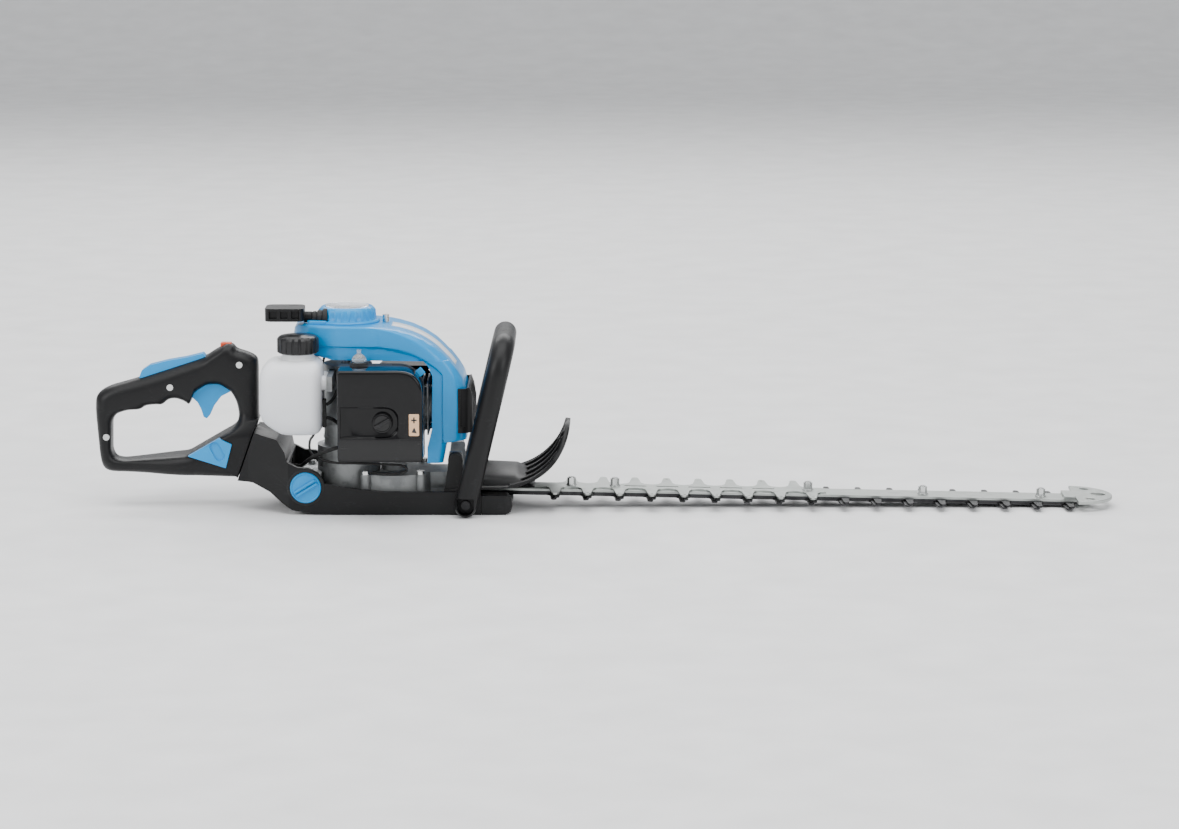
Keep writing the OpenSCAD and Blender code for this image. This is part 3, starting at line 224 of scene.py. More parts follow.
@dataclass(frozen=True)
class Moulded:
    """Moulded plastic: slight colour drift, fine spark-eroded grain and soft scuffs."""

    name: str
    colour: tuple
    scuffed: tuple
    roughness: float
    grain: float = 1500.0
    grain_depth: float = 0.00005
    coat: float = 0.0
    scuff: float = 0.5
    shine: float = 0.4

    def make(self) -> bpy.types.Material:
        """Builds the material.

        Returns:
            A material whose colour drifts by a tenth and whose scuffs are lighter and rougher.
        """
        g = Graph(self.name)
        drift = g.noise(14.0, 2.0)
        scuffs = (g.noise(55.0, 6.0) * g.noise(190.0, 4.0, (1, 1, 3))).above(0.3, 0.14)
        shade = tuple(c * 0.82 for c in self.colour)
        base = g.blend(drift, shade, self.colour)
        g.set(Base_Color=g.blend(scuffs * self.scuff, base, self.scuffed))
        g.set(Roughness=scuffs * 0.12 + (drift * 0.06 + (self.roughness - 0.03)))
        g.set(Coat_Weight=self.coat, Coat_Roughness=0.08, Specular_IOR_Level=self.shine)
        g.bump(g.noise(self.grain, 2.0), self.grain_depth)
        return g.material


@dataclass(frozen=True)
class Gloss:
    """Polished moulded plastic with faint swirls and dust specks."""

    name: str
    colour: tuple
    dusty: tuple
    roughness: float = 0.07

    def make(self) -> bpy.types.Material:
        """Builds the material.

        Returns:
            A near-mirror material with a very low orange-peel bump.
        """
        g = Graph(self.name)
        specks = (1 - g.pits(420.0)).above(0.86, 0.08) * g.noise(22.0, 3.0).above(0.52, 0.1)
        swirl = g.noise(30.0, 5.0, (1, 1, 4))
        g.set(Base_Color=g.blend(specks * 0.35, self.colour, self.dusty))
        g.set(Roughness=swirl * 0.07 + specks * 0.2 + (self.roughness - 0.03))
        g.set(Coat_Weight=0.12, Coat_Roughness=0.03, Specular_IOR_Level=0.2)
        g.bump(g.noise(45.0, 1.0), 0.00008)
        return g.material


@dataclass(frozen=True)
class Metal:
    """Bare or plated metal with rolling marks along one axis and dull patches."""

    name: str
    colour: tuple
    dull: tuple
    roughness: float
    stretch: tuple = (1, 12, 12)
    marks: float = 90.0
    depth: float = 0.00003
    metallic: float = 1.0

    def make(self) -> bpy.types.Material:
        """Builds the material.

        Returns:
            A metal whose dull patches are darker and rougher, with fine drawn lines.
        """
        g = Graph(self.name)
        lines = g.noise(self.marks, 6.0, self.stretch)
        patches = g.noise(38.0, 4.0).above(0.42, 0.3)
        g.set(Base_Color=g.blend(patches * 0.5 + lines * 0.3, self.colour, self.dull))
        g.set(Roughness=lines * 0.16 + patches * 0.1 + (self.roughness - 0.1))
        g.set(Metallic=self.metallic)
        g.bump(lines, self.depth)
        return g.material


@dataclass(frozen=True)
class CastMetal:
    """Cast metal with a sandy skin and darker hollows."""

    name: str
    colour: tuple
    dark: tuple
    roughness: float = 0.5

    def make(self) -> bpy.types.Material:
        """Builds the material.

        Returns:
            A grey metal with pits about a millimetre apart.
        """
        g = Graph(self.name)
        skin = g.noise(900.0, 5.0)
        stains = g.noise(60.0, 5.0).above(0.45, 0.2)
        g.set(Base_Color=g.blend(stains * 0.55, self.colour, self.dark))
        g.set(Roughness=skin * 0.2 + (self.roughness - 0.1), Metallic=0.75)
        g.bump(skin + g.pits(1100.0) * 0.6, 0.00018)
        return g.material


@dataclass(frozen=True)
class Milky:
    """Translucent tank plastic: white, soft-edged, a shade darker low down."""

    name: str
    colour: tuple
    shade: tuple
    low: float
    high: float

    def make(self) -> bpy.types.Material:
        """Builds the material.

        Returns:
            A waxy white material with light scattering below its skin.
        """
        g = Graph(self.name)
        split = g.node("ShaderNodeSeparateXYZ", {}, {"Vector": g.place})
        rise = Val(g, split.outputs[2]).above(self.low, self.high - self.low)
        cloud = g.noise(24.0, 3.0)
        g.set(Base_Color=g.blend(rise * 0.7 + cloud * 0.3, self.shade, self.colour))
        g.set(Roughness=cloud * 0.1 + 0.3, Subsurface_Weight=0.35, Subsurface_Scale=0.01)
        g.set(Subsurface_Radius=(0.9, 0.9, 1.0), Specular_IOR_Level=0.4)
        g.bump(g.noise(1300.0, 2.0), 0.00004)
        return g.material


@dataclass(frozen=True)
class Clear:
    """Clear soft plastic for the priming bulb."""

    name: str

    def make(self) -> bpy.types.Material:
        """Builds the material.

        Returns:
            A clear material with a faint haze.
        """
        g = Graph(self.name)
        haze = g.noise(160.0, 3.0)
        g.set(Base_Color=g.blend(haze, (0.86, 0.9, 0.92), (0.7, 0.76, 0.8)))
        g.set(Roughness=haze * 0.1 + 0.05, Transmission_Weight=0.75, IOR=1.4)
        return g.material


class Finish(Enum):
    """Every finish on the machine."""

    BLACK = Moulded(
        "matt_black", (0.005, 0.005, 0.0055), (0.02, 0.02, 0.021), 0.4, 1300, 0.00008, 0.0, 0.4, 0.28
    )
    DARK = Moulded("dark_grey_plastic", (0.03, 0.03, 0.032), (0.07, 0.07, 0.07), 0.5)
    GLOSS = Gloss("gloss_black", (0.0035, 0.0035, 0.004), (0.2, 0.2, 0.2))
    BLUE = Moulded(
        "azure_blue", (0.0, 0.3, 0.7), (0.01, 0.35, 0.7), 0.3, 1800, 0.00002, 0.12, 0.3, 0.3
    )
    RUBBER = Moulded("rubber", (0.012, 0.012, 0.012), (0.06, 0.06, 0.06), 0.65, 900, 0.00012)
    FOAM = Moulded("filter_foam", (0.05, 0.05, 0.06), (0.12, 0.12, 0.13), 0.9, 500, 0.0009)
    ORANGE = Moulded("signal_orange", (0.72, 0.09, 0.03), (0.85, 0.3, 0.2), 0.4)
    WHITE = Moulded("label_white", (0.74, 0.76, 0.8), (0.6, 0.62, 0.66), 0.35, 900, 0.00001)
    PEACH = Moulded("label_peach", (0.78, 0.5, 0.3), (0.7, 0.45, 0.28), 0.45, 900, 0.00001)
    GLOSS_CAP = Moulded("cap_black", (0.008, 0.008, 0.009), (0.05, 0.05, 0.05), 0.3, 900, 0.00003)
    PANEL = Moulded("satin_black", (0.006, 0.006, 0.0065), (0.03, 0.03, 0.03), 0.24, 900, 0.00003)
    TANK = Milky("milky_white", (0.86, 0.87, 0.89), (0.7, 0.72, 0.75), 0.085, 0.17)
    CLEAR = Clear("clear_bulb")
    CAST = CastMetal("cast_aluminium", (0.3, 0.31, 0.31), (0.12, 0.125, 0.13))
    MACHINED = Metal("machined_steel", (0.5, 0.51, 0.52), (0.3, 0.31, 0.33), 0.32)
    SATIN = Metal("satin_steel", (0.47, 0.49, 0.47), (0.3, 0.32, 0.31), 0.42, (1, 14, 14))
    BLADE = Metal("blade_steel", (0.06, 0.06, 0.062), (0.02, 0.02, 0.022), 0.38, (1, 10, 10))
    ZINC = Metal("bright_zinc", (0.72, 0.73, 0.72), (0.5, 0.51, 0.5), 0.24, (3, 3, 14))
    DISC = Metal("silver_disc", (0.78, 0.8, 0.84), (0.62, 0.64, 0.68), 0.28, (1, 1, 1), 30, 0.00001)
    EXHAUST = CastMetal("exhaust_steel", (0.09, 0.085, 0.08), (0.03, 0.028, 0.025), 0.6)


class Workshop:
    """Makes each finish once and puts pieces on their bodies."""

    def __init__(self, frame: dict) -> None:
        """Keeps the frame and which body each CAD node is on."""
        self.frame = frame
        self.made: dict[Finish, bpy.types.Material] = {}
        self.body = {
            node: body
            for body, nodes in frame["record"]["behaviour"]["bodies"].items()
            for node in nodes
        }

    def paint(self, finish: Finish) -> bpy.types.Material:
        """The material of a finish, made on its first use."""
        if finish not in self.made:
            self.made[finish] = finish.value.make()
        return self.made[finish]

    def dress(self, node: str, finish: Finish) -> None:
        """Gives a CAD node a finish in place of its plain colours."""
        mesh = self.frame["nodes"][node].data
        mesh.materials.clear()
        mesh.materials.append(self.paint(finish))

    def place(
        self,
        piece: bpy.types.Object,
        finish: Finish,
        body: str,
        slot: str,
        nodes: tuple = (),
    ) -> bpy.types.Object:
        """Dresses a new piece and makes it ride on its body.

        Args:
            piece: the new object, at the origin.
            finish: its finish.
            body: the CAD body that it moves with.
            slot: not used.
            nodes: CAD nodes that it stands for.

        Returns:
            The piece.
        """
        if not piece.data.materials:
            piece.data.materials.append(self.paint(finish))
        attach(piece, body)
        if nodes:
            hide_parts(*nodes)
        return piece


# ---------------------------------------------------------------- surfaces


@dataclass
class Patch:
    """A grid of points, rows by columns by 3, with its seams and ends."""

    points: np.ndarray
    closed: bool = True
    looped: bool = False
    capped: bool = True

    def faces(self, start: int) -> list:
        """Quads of the grid, and the two end polygons of a closed tube.

        Args:
            start: number of the first vertex.

        Returns:
            Vertex numbers of each face.
        """
        rows, cols = self.points.shape[:2]
        i = np.arange(rows if self.looped else rows - 1)[:, None]
        j = np.arange(cols if self.closed else cols - 1)[None, :]
        a = i * cols + j
        b = i * cols + (j + 1) % cols
        c = (i + 1) % rows * cols + (j + 1) % cols
        d = (i + 1) % rows * cols + j
        quads = (np.stack([a, b, c, d], -1).reshape(-1, 4) + start).tolist()
        if self.closed and self.capped and not self.looped:
            ring = np.arange(cols)
            quads += [(ring[::-1] + start).tolist(), (ring + (rows - 1) * cols + start).tolist()]
        return quads


def make_piece(name: str, patches: list, smooth: float = 35.0) -> bpy.types.Object:
    """Puts patches, in millimetres, into one mesh object in metres.

    Args:
        name: the piece's name.
        patches: the closed patches.
        smooth: angle in degrees under which an edge is shaded smooth.

    Returns:
        The new object.
    """
    points, faces = [], []
    count = 0
    for patch in patches:
        faces += patch.faces(count)
        points.append(patch.points.reshape(-1, 3))
        count += points[-1].shape[0]
    mesh = bpy.data.meshes.new(name)
    mesh.from_pydata((np.concatenate(points) * MM).tolist(), [], faces)
    return finish_mesh(name, mesh, smooth)


def finish_mesh(name: str, mesh: bpy.types.Mesh, smooth: float) -> bpy.types.Object:
    """Merges doubles, turns every face outwards and links the object.

    Args:
        name: the object's name.
        mesh: its mesh.
        smooth: angle in degrees under which an edge is shaded smooth.

    Returns:
        The linked object.
    """
    work = bmesh.new()
    work.from_mesh(mesh)
    bmesh.ops.remove_doubles(work, verts=work.verts, dist=1e-7)
    bmesh.ops.recalc_face_normals(work, faces=work.faces)
    work.to_mesh(mesh)
    work.free()
    mesh.polygons.foreach_set("use_smooth", np.ones(len(mesh.polygons), bool))
    mesh.set_sharp_from_angle(angle=math.radians(smooth))
    made = bpy.data.objects.new(name, mesh)
    bpy.context.scene.collection.objects.link(made)
    return made


def round_corners(points: object, radius: object, steps: int = 6) -> np.ndarray:
    """Rounds a polygon's corners.

    Each corner C becomes the curve (1-t)^2 A + 2t(1-t) C + t^2 B, where A and B are on
    its two edges, radius away or under half the edge.

    Args:
        points: corners, n by 2.
        radius: one radius, or one for each corner.
        steps: points to a corner, less one.

    Returns:
        The rounded outline.
    """
    c = np.asarray(points, float)
    r = np.broadcast_to(np.asarray(radius, float), len(c))[:, None]
    back, ahead = np.roll(c, 1, 0) - c, np.roll(c, -1, 0) - c
    lb, la = np.linalg.norm(back, axis=1)[:, None], np.linalg.norm(ahead, axis=1)[:, None]
    a = (c + back / lb * np.minimum(r, lb * 0.48))[:, None, :]
    b = (c + ahead / la * np.minimum(r, la * 0.48))[:, None, :]
    t = np.linspace(0, 1, steps + 1)[None, :, None]
    return ((1 - t) ** 2 * a + 2 * t * (1 - t) * c[:, None, :] + t**2 * b).reshape(-1, 2)


def resample(points: np.ndarray, count: int, closed: bool = True) -> np.ndarray:
    """Points evenly spaced by length along an outline or a path.

    Args:
        points: n by 2 or 3.
        count: how many points to return.
        closed: True for an outline.

    Returns:
        count points.
    """
    p = np.concatenate([points, points[:1]]) if closed else np.asarray(points, float)
    run = np.concatenate([[0], np.cumsum(np.linalg.norm(np.diff(p, axis=0), axis=1))])
    at = np.linspace(0, run[-1], count + 1)[:-1] if closed else np.linspace(0, run[-1], count)
    return np.stack([np.interp(at, run, p[:, k]) for k in range(p.shape[1])], 1)


def curve_through(points: object, per: int = 8) -> np.ndarray:
    """Smooth path through points: Catmull-Rom, whole arrays at once.

    Args:
        points: the points, n by 2 or 3.
        per: steps to each stretch.

    Returns:
        The path's points.
    """
    p = np.asarray(points, float)
    q = np.concatenate([2 * p[:1] - p[1:2], p, 2 * p[-1:] - p[-2:-1]])
    a, b, c, d = (q[k : len(q) - 3 + k, None, :] for k in range(4))
    t = np.linspace(0, 1, per, endpoint=False)[None, :, None]
    mid = 0.5 * (
        2 * b + (c - a) * t + (2 * a - 5 * b + 4 * c - d) * t**2 + (3 * b - a - 3 * c + d) * t**3
    )
    return np.concatenate([mid.reshape(-1, p.shape[1]), p[-1:]])


def inward(loop: np.ndarray) -> np.ndarray:
    """Unit vectors that point into a loop, from the mean of each point's two edges."""
    e = np.roll(loop, -1, 0) - loop
    e = e / np.maximum(np.linalg.norm(e, axis=1)[:, None], 1e-9)
    t = e + np.roll(e, 1, 0)
    n = np.stack([-t[:, 1], t[:, 0]], 1)
    n = n / np.maximum(np.linalg.norm(n, axis=1)[:, None], 1e-9)
    area = np.sum(loop[:, 0] * np.roll(loop[:, 1], -1) - loop[:, 1] * np.roll(loop[:, 0], -1))
    return n if area > 0 else -n


def lift(loop: np.ndarray, depth: object, plane: str) -> np.ndarray:
    """Puts a flat loop into space: plane xz takes depth as y, xy as z and yz as x."""
    d = np.broadcast_to(np.asarray(depth, float), len(loop))
    order = {"xz": (loop[:, 0], d, loop[:, 1]), "xy": (loop[:, 0], loop[:, 1], d)}
    order["yz"] = (d, loop[:, 0], loop[:, 1])
    return np.stack(order[plane], 1)


def reach(loop: np.ndarray, middle: tuple, angles: np.ndarray) -> np.ndarray:
    """Distance from a middle point to a loop along each ray, the furthest crossing.

    Ray C + t d meets edge A + u e where t = (A - C) x e / (d x e).

    Args:
        loop: the outline.
        middle: the point C.
        angles: the rays' directions in radians.

    Returns:
        One distance for each ray.
    """
    d = np.stack([np.cos(angles), np.sin(angles)], 1)[:, None, :]
    a = (loop - np.array(middle))[None, :, :]
    e = (np.roll(loop, -1, 0) - loop)[None, :, :]
    cross = d[..., 0] * e[..., 1] - d[..., 1] * e[..., 0]
    cross = np.where(np.abs(cross) < 1e-9, 1e-9, cross)
    t = (a[..., 0] * e[..., 1] - a[..., 1] * e[..., 0]) / cross
    u = (a[..., 0] * d[..., 1] - a[..., 1] * d[..., 0]) / cross
    return np.where((u >= -1e-6) & (u <= 1 + 1e-6) & (t > 0), t, 0).max(1)


def turn(patch: Patch, angle: float, centre: tuple) -> Patch:
    """Turns a patch about an axis along Y through the centre (x, z), angle in degrees."""
    c, s = math.cos(math.radians(angle)), math.sin(math.radians(angle))
    x, z = patch.points[..., 0] - centre[0], patch.points[..., 2] - centre[1]
    moved = np.stack(
        [centre[0] + c * x - s * z, patch.points[..., 1], centre[1] + s * x + c * z], -1
    )
    return Patch(moved, patch.closed, patch.looped, patch.capped)


def block(x: tuple, z: tuple, y: tuple, corner: float, edge: float) -> Patch:
    """A rounded block between pairs of places along X, Z and Y."""
    loop = round_corners([(x[0], z[0]), (x[1], z[0]), (x[1], z[1]), (x[0], z[1])], corner, 5)
    return slab(loop, y[0], y[1], edge)


def slab(
    loop: np.ndarray,
    low: float,
    high: float,
    edge: float = 1.0,
    plane: str = "xz",
    steps: int = 4,
    low_edge: float | None = None,
) -> Patch:
    """An outline carried from low to high with both rims rounded.

    Ring k of a rim is the loop moved inwards by edge (1 - cos a), at edge (1 - sin a)
    from the end, with a from 0 to 90 degrees.

    Args:
        loop: the outline, n by 2.
        low: depth of one end.
        high: depth of the other end.
        edge: rim radius.
        plane: where the outline lies.
        steps: rings to a rim.
        low_edge: rim radius at the low end, or None for the same.

    Returns:
        The closed patch.
    """
    near = edge if low_edge is None else low_edge
    a = np.linspace(0, math.pi / 2, steps + 1)
    inset = np.concatenate([near * (1 - np.sin(a)), edge * (1 - np.cos(a))])
    depth = np.concatenate([low + near * (1 - np.cos(a)), high - edge * (1 - np.sin(a))])
    n = inward(loop)
    rings = [lift(loop + n * i, d, plane) for i, d in zip(inset, depth)]
    return Patch(np.stack(rings))


def turned(
    profile: object,
    centre: tuple,
    axis: str = "z",
    count: int = 64,
    ribs: tuple | None = None,
) -> Patch:
    """A profile turned round an axis: (r cos u, r sin u, h) about the centre.

    Args:
        profile: radius and height pairs, from one pole or rim to the other.
        centre: the axis's foot.
        axis: x, y or z, the direction of the heights.
        count: steps round.
        ribs: how many ribs, how high, their share of the pitch, and the heights between
            which they stand, or None.

    Returns:
        The closed patch.
    """
    p = np.asarray(profile, float)
    u = np.linspace(0, 2 * math.pi, count, endpoint=False)[None, :]
    r, h = p[:, :1], np.broadcast_to(p[:, 1:], (len(p), count))
    if ribs:
        number, height, share, low, high = ribs
        wave = np.cos(u * number)
        rise = np.clip((wave - math.cos(math.pi * share)) * 6, 0, 1)
        r = r + height * rise * ((h >= low) & (h <= high))
    x, y = r * np.cos(u), r * np.sin(u)
    order = {"z": (x, y, h), "y": (x, h, y), "x": (h, x, y)}
    return Patch(np.stack(order[axis], -1) + np.asarray(centre, float))


def soften(shop: Workshop, node: str, finish: Finish, slot: str, edge: float) -> bpy.types.Object:
    """Replaces a CAD node by a copy with merged faces and rounded edges.

    Args:
        shop: the workshop.
        node: the CAD node.
        finish: its finish.
        slot: the record's slot.
        edge: rounding of its edges in millimetres.

    Returns:
        The new piece.
    """
    mesh = shop.frame["nodes"][node].data.copy()
    mesh.materials.clear()
    work = bmesh.new()
    work.from_mesh(mesh)
    bmesh.ops.remove_doubles(work, verts=work.verts, dist=2e-6)
    bmesh.ops.dissolve_limit(
        work, angle_limit=math.radians(0.5), verts=work.verts, edges=work.edges
    )
    work.to_mesh(mesh)
    work.free()
    mesh.polygons.foreach_set("use_smooth", np.ones(len(mesh.polygons), bool))
    mesh.set_sharp_from_angle(angle=math.radians(32))
    made = bpy.data.objects.new(f"{node}_skin", mesh)
    bpy.context.scene.collection.objects.link(made)
    bevel = made.modifiers.new("edges", "BEVEL")
    bevel.width = edge * MM
    bevel.segments = 2
    bevel.limit_method = "ANGLE"
    bevel.angle_limit = math.radians(32)
    bevel.harden_normals = True
    return shop.place(made, finish, shop.body[node], slot, (node,))


# ---------------------------------------------------------------- sub-assemblies


@dataclass
class Base:
    """Black base tray, front foot, side caps, mounts and the gear case."""

    edge: float = 2.2
    seat: tuple = (-43.4, 30.2)
    cap_r: float = 16.7

    def build(self, shop: Workshop) -> None:
        """Softens the castings and mouldings of the base.

        Args:
            shop: the workshop.
        """
        for node, finish, slot, edge in (
            ("base_tray", Finish.BLACK, "black_plastic", self.edge),
            ("front_foot", Finish.BLACK, "black_plastic", self.edge),
            ("gear_case", Finish.CAST, "cast_metal", 1.0),
            ("gear_case_cover", Finish.CAST, "cast_metal", 1.0),
        ):
            soften(shop, node, finish, slot, edge)
            LOG.info("base: %s", node)
        self.dials(shop)
        shop.dress("rubber_mounts", Finish.RUBBER)
        shop.dress("machine_screws", Finish.ZINC)
        shop.dress("bearings", Finish.MACHINED)

    def dials(self, shop: Workshop) -> None:
        """Blue caps with a coin ridge across them, and the black ring behind each.

        Args:
            shop: the workshop.
        """
        x, z = self.seat
        caps, rings = [], []
        for side in (-1, 1):
            profile = np.array(
                ((0.01, 0), (self.cap_r, 0), (self.cap_r, 2.2), (self.cap_r - 0.5, 3.1),
                 (self.cap_r - 1.3, 3.4), (self.cap_r - 1.9, 3.1), (self.cap_r - 2.4, 2.5),
                 (0.01, 2.5))
            )  # fmt: skip
            caps.append(turned(profile * (1, side), (x, side * 56.1, z), "y", 96))
            low, high = sorted((side * 58.2, side * 61.9))
            for shift in (-2.2, 2.2):
                bar = block(
                    (x - self.cap_r + 3.2, x + self.cap_r - 3.2),
                    (z + shift - 1.35, z + shift + 1.35),
                    (low, high),
                    1.2,
                    0.7,
                )
                caps.append(turn(bar, 32, (x, z)))
            behind = np.array(((0.01, 0), (20.4, 0), (20.4, 1.4), (19.6, 2.2), (0.01, 2.2)))
            rings.append(turned(behind * (1, side), (x, side * 54.2, z), "y", 96))
        shop.place(
            make_piece("dials", caps), Finish.BLUE, "chassis", "blue_plastic", ("side_caps",)
        )
        shop.place(make_piece("dial_rings", rings), Finish.RUBBER, "chassis", "rubber")


@dataclass
class EngineBlock:
    """Crankcase, cylinder, exhaust, carburettor, ignition and the moving crank train."""

    def build(self, shop: Workshop) -> None:
        """Dresses the engine's own parts.

        Args:
            shop: the workshop.
        """
        for node, finish in (
            ("crankcase", Finish.CAST),
            ("cylinder", Finish.CAST),
            ("carburettor", Finish.CAST),
            ("muffler", Finish.EXHAUST),
            ("muffler_guard", Finish.BLACK),
            ("spark_plug", Finish.ZINC),
            ("plug_cap", Finish.RUBBER),
            ("ignition_coil", Finish.DARK),
            ("filter_foam", Finish.FOAM),
            ("crankshaft", Finish.MACHINED),
            ("flywheel", Finish.CAST),
            ("clutch_shoes", Finish.EXHAUST),
            ("clutch_drum", Finish.MACHINED),
            ("crank_gear", Finish.MACHINED),
            ("piston", Finish.MACHINED),
            ("connecting_rod", Finish.MACHINED),
            ("upper_rod", Finish.MACHINED),
            ("lower_rod", Finish.MACHINED),
            ("swivel_ring", Finish.MACHINED),
            ("recoil_pulley", Finish.DARK),
            ("throttle_cable", Finish.RUBBER),
            ("stop_wires", Finish.RUBBER),
            ("fuel_lines", Finish.RUBBER),
            ("tank_grommet", Finish.RUBBER),
        ):
            shop.dress(node, finish)
        LOG.info("engine dressed")


@dataclass
class Cleaner:
    """Air cleaner: gloss cover, base, knob, choke lever and priming bulb."""

    outline: tuple = ((-5.5, 66), (85.5, 66), (85.5, 165), (-5.5, 165))
    radii: tuple = (3.0, 5.0, 27.0, 3.0)
    recess: tuple = ((-4.9, 93), (59.5, 93), (59.5, 125.5), (-4.9, 125.5))
    recess_radii: tuple = (1.5, 16.2, 16.2, 1.5)
    middle: tuple = (27.0, 109.0)
    face: float = -100.0
    back: float = -68.0
    edge: float = 3.6
    knob: tuple = (42.5, 109.0)

    def build(self, shop: Workshop) -> None:
        """Builds the cover and dresses its small parts.

        Args:
            shop: the workshop.
        """
        soften(shop, "air_cleaner_base", Finish.DARK, "dark_plastic", 0.8)
        cover = make_piece("cover_skin", [self.cover()], 40.0)
        shop.place(cover, Finish.GLOSS, "chassis", "gloss_black", ("air_cleaner_cover",))
        panel = block((-4.5, 83.5), (68.5, 91.6), (self.face - 0.45, self.face + 0.6), 3.0, 0.4)
        shop.place(make_piece("cover_panel", [panel]), Finish.PANEL, "chassis", "gloss_black")
        self.sticker(shop)
        self.turn_knob(shop)
        soften(shop, "choke_lever", Finish.BLUE, "blue_plastic", 0.8)
        shop.dress("primer_bulb", Finish.CLEAR)
        LOG.info("air cleaner built")

    def cover(self) -> Patch:
        """Cover: rings from the rear rim over the rounded edge, then down into the recess.

        Every ring is a loop of rays about the middle, at a distance between the outline's
        and the recess's.

        Returns:
            The closed patch.
        """
        angles = np.linspace(0, 2 * math.pi, 480, endpoint=False)
        out = reach(round_corners(self.outline, self.radii, 12), self.middle, angles)
        dip = reach(round_corners(self.recess, self.recess_radii, 12), self.middle, angles)
        dip = np.minimum(dip, out - self.edge - 0.1)
        a = np.linspace(0, math.pi / 2, 9)
        rows = [(out, self.back), (out, self.back - 5), (out - 0.5, self.back - 5.3),
                (out - 0.5, self.back - 6), (out, self.back - 6.3)]  # fmt: skip
        rows += [
            (out - self.edge * (1 - math.cos(t)), self.face + self.edge * (1 - math.sin(t)))
            for t in a
        ]
        lip = np.maximum(dip + 1.6, 0)
        lip = np.minimum(lip, out - self.edge)
        rows += [
            (lip, self.face),
            (dip + (lip - dip) * 0.6, self.face + 0.15),
            (dip, self.face + 0.9),
            (dip - 0.2, self.face + 2.2),
            (dip - 1.0, self.face + 2.8),
            (dip - 2.4, self.face + 3.0),
        ]
        ring = [
            np.stack(
                [
                    self.middle[0] + r * np.cos(angles),
                    np.full(len(angles), y),
                    self.middle[1] + r * np.sin(angles),
                ],
                1,
            )
            for r, y in rows
        ]
        return Patch(np.stack(ring))

    def sticker(self, shop: Workshop) -> None:
        """Peach sticker with two plain black marks.

        Args:
            shop: the workshop.
        """
        y = self.face
        label = block((71.0, 81.8), (95.2, 118.8), (y - 0.3, y + 0.3), 1.2, 0.12)
        shop.place(make_piece("cover_label", [label]), Finish.PEACH, "chassis", "gloss_black")
        marks = [
            block((73.4, 79.4), (111.4, 113.0), (y - 0.42, y), 0.3, 0.05),
            block((75.6, 77.2), (109.0, 115.4), (y - 0.42, y), 0.3, 0.05),
            slab(round_corners([(73.6, 99), (79.4, 98.2), (76.6, 104.6)], 0.6), y - 0.42, y, 0.05),
        ]
        shop.place(make_piece("label_marks", marks), Finish.DARK, "chassis", "gloss_black")

    def turn_knob(self, shop: Workshop) -> None:
        """Cover knob: a turned disc with a grip ridge across it at thirty degrees.

        Args:
            shop: the workshop.
        """
        x, z = self.knob
        y = self.face
        disc = turned(
            ((0.01, y + 9.5), (3.9, y + 9.5), (3.9, y + 3), (10.8, y + 2.6), (11, y + 1),
             (10.8, y - 1.4), (10, y - 2.4), (9, y - 2.6), (8.4, y - 2.0), (0.01, y - 2.0)),
            (x, 0, z), "y", 96,
        )  # fmt: skip
        ridge = turn(block((x - 9.6, x + 9.6), (z - 2, z + 2), (y - 6.6, y), 1.9, 1.1), 30, (x, z))
        piece = make_piece("knob_skin", [disc, ridge])
        shop.place(piece, Finish.PANEL, "knob", "black_plastic", ("cover_knob",))


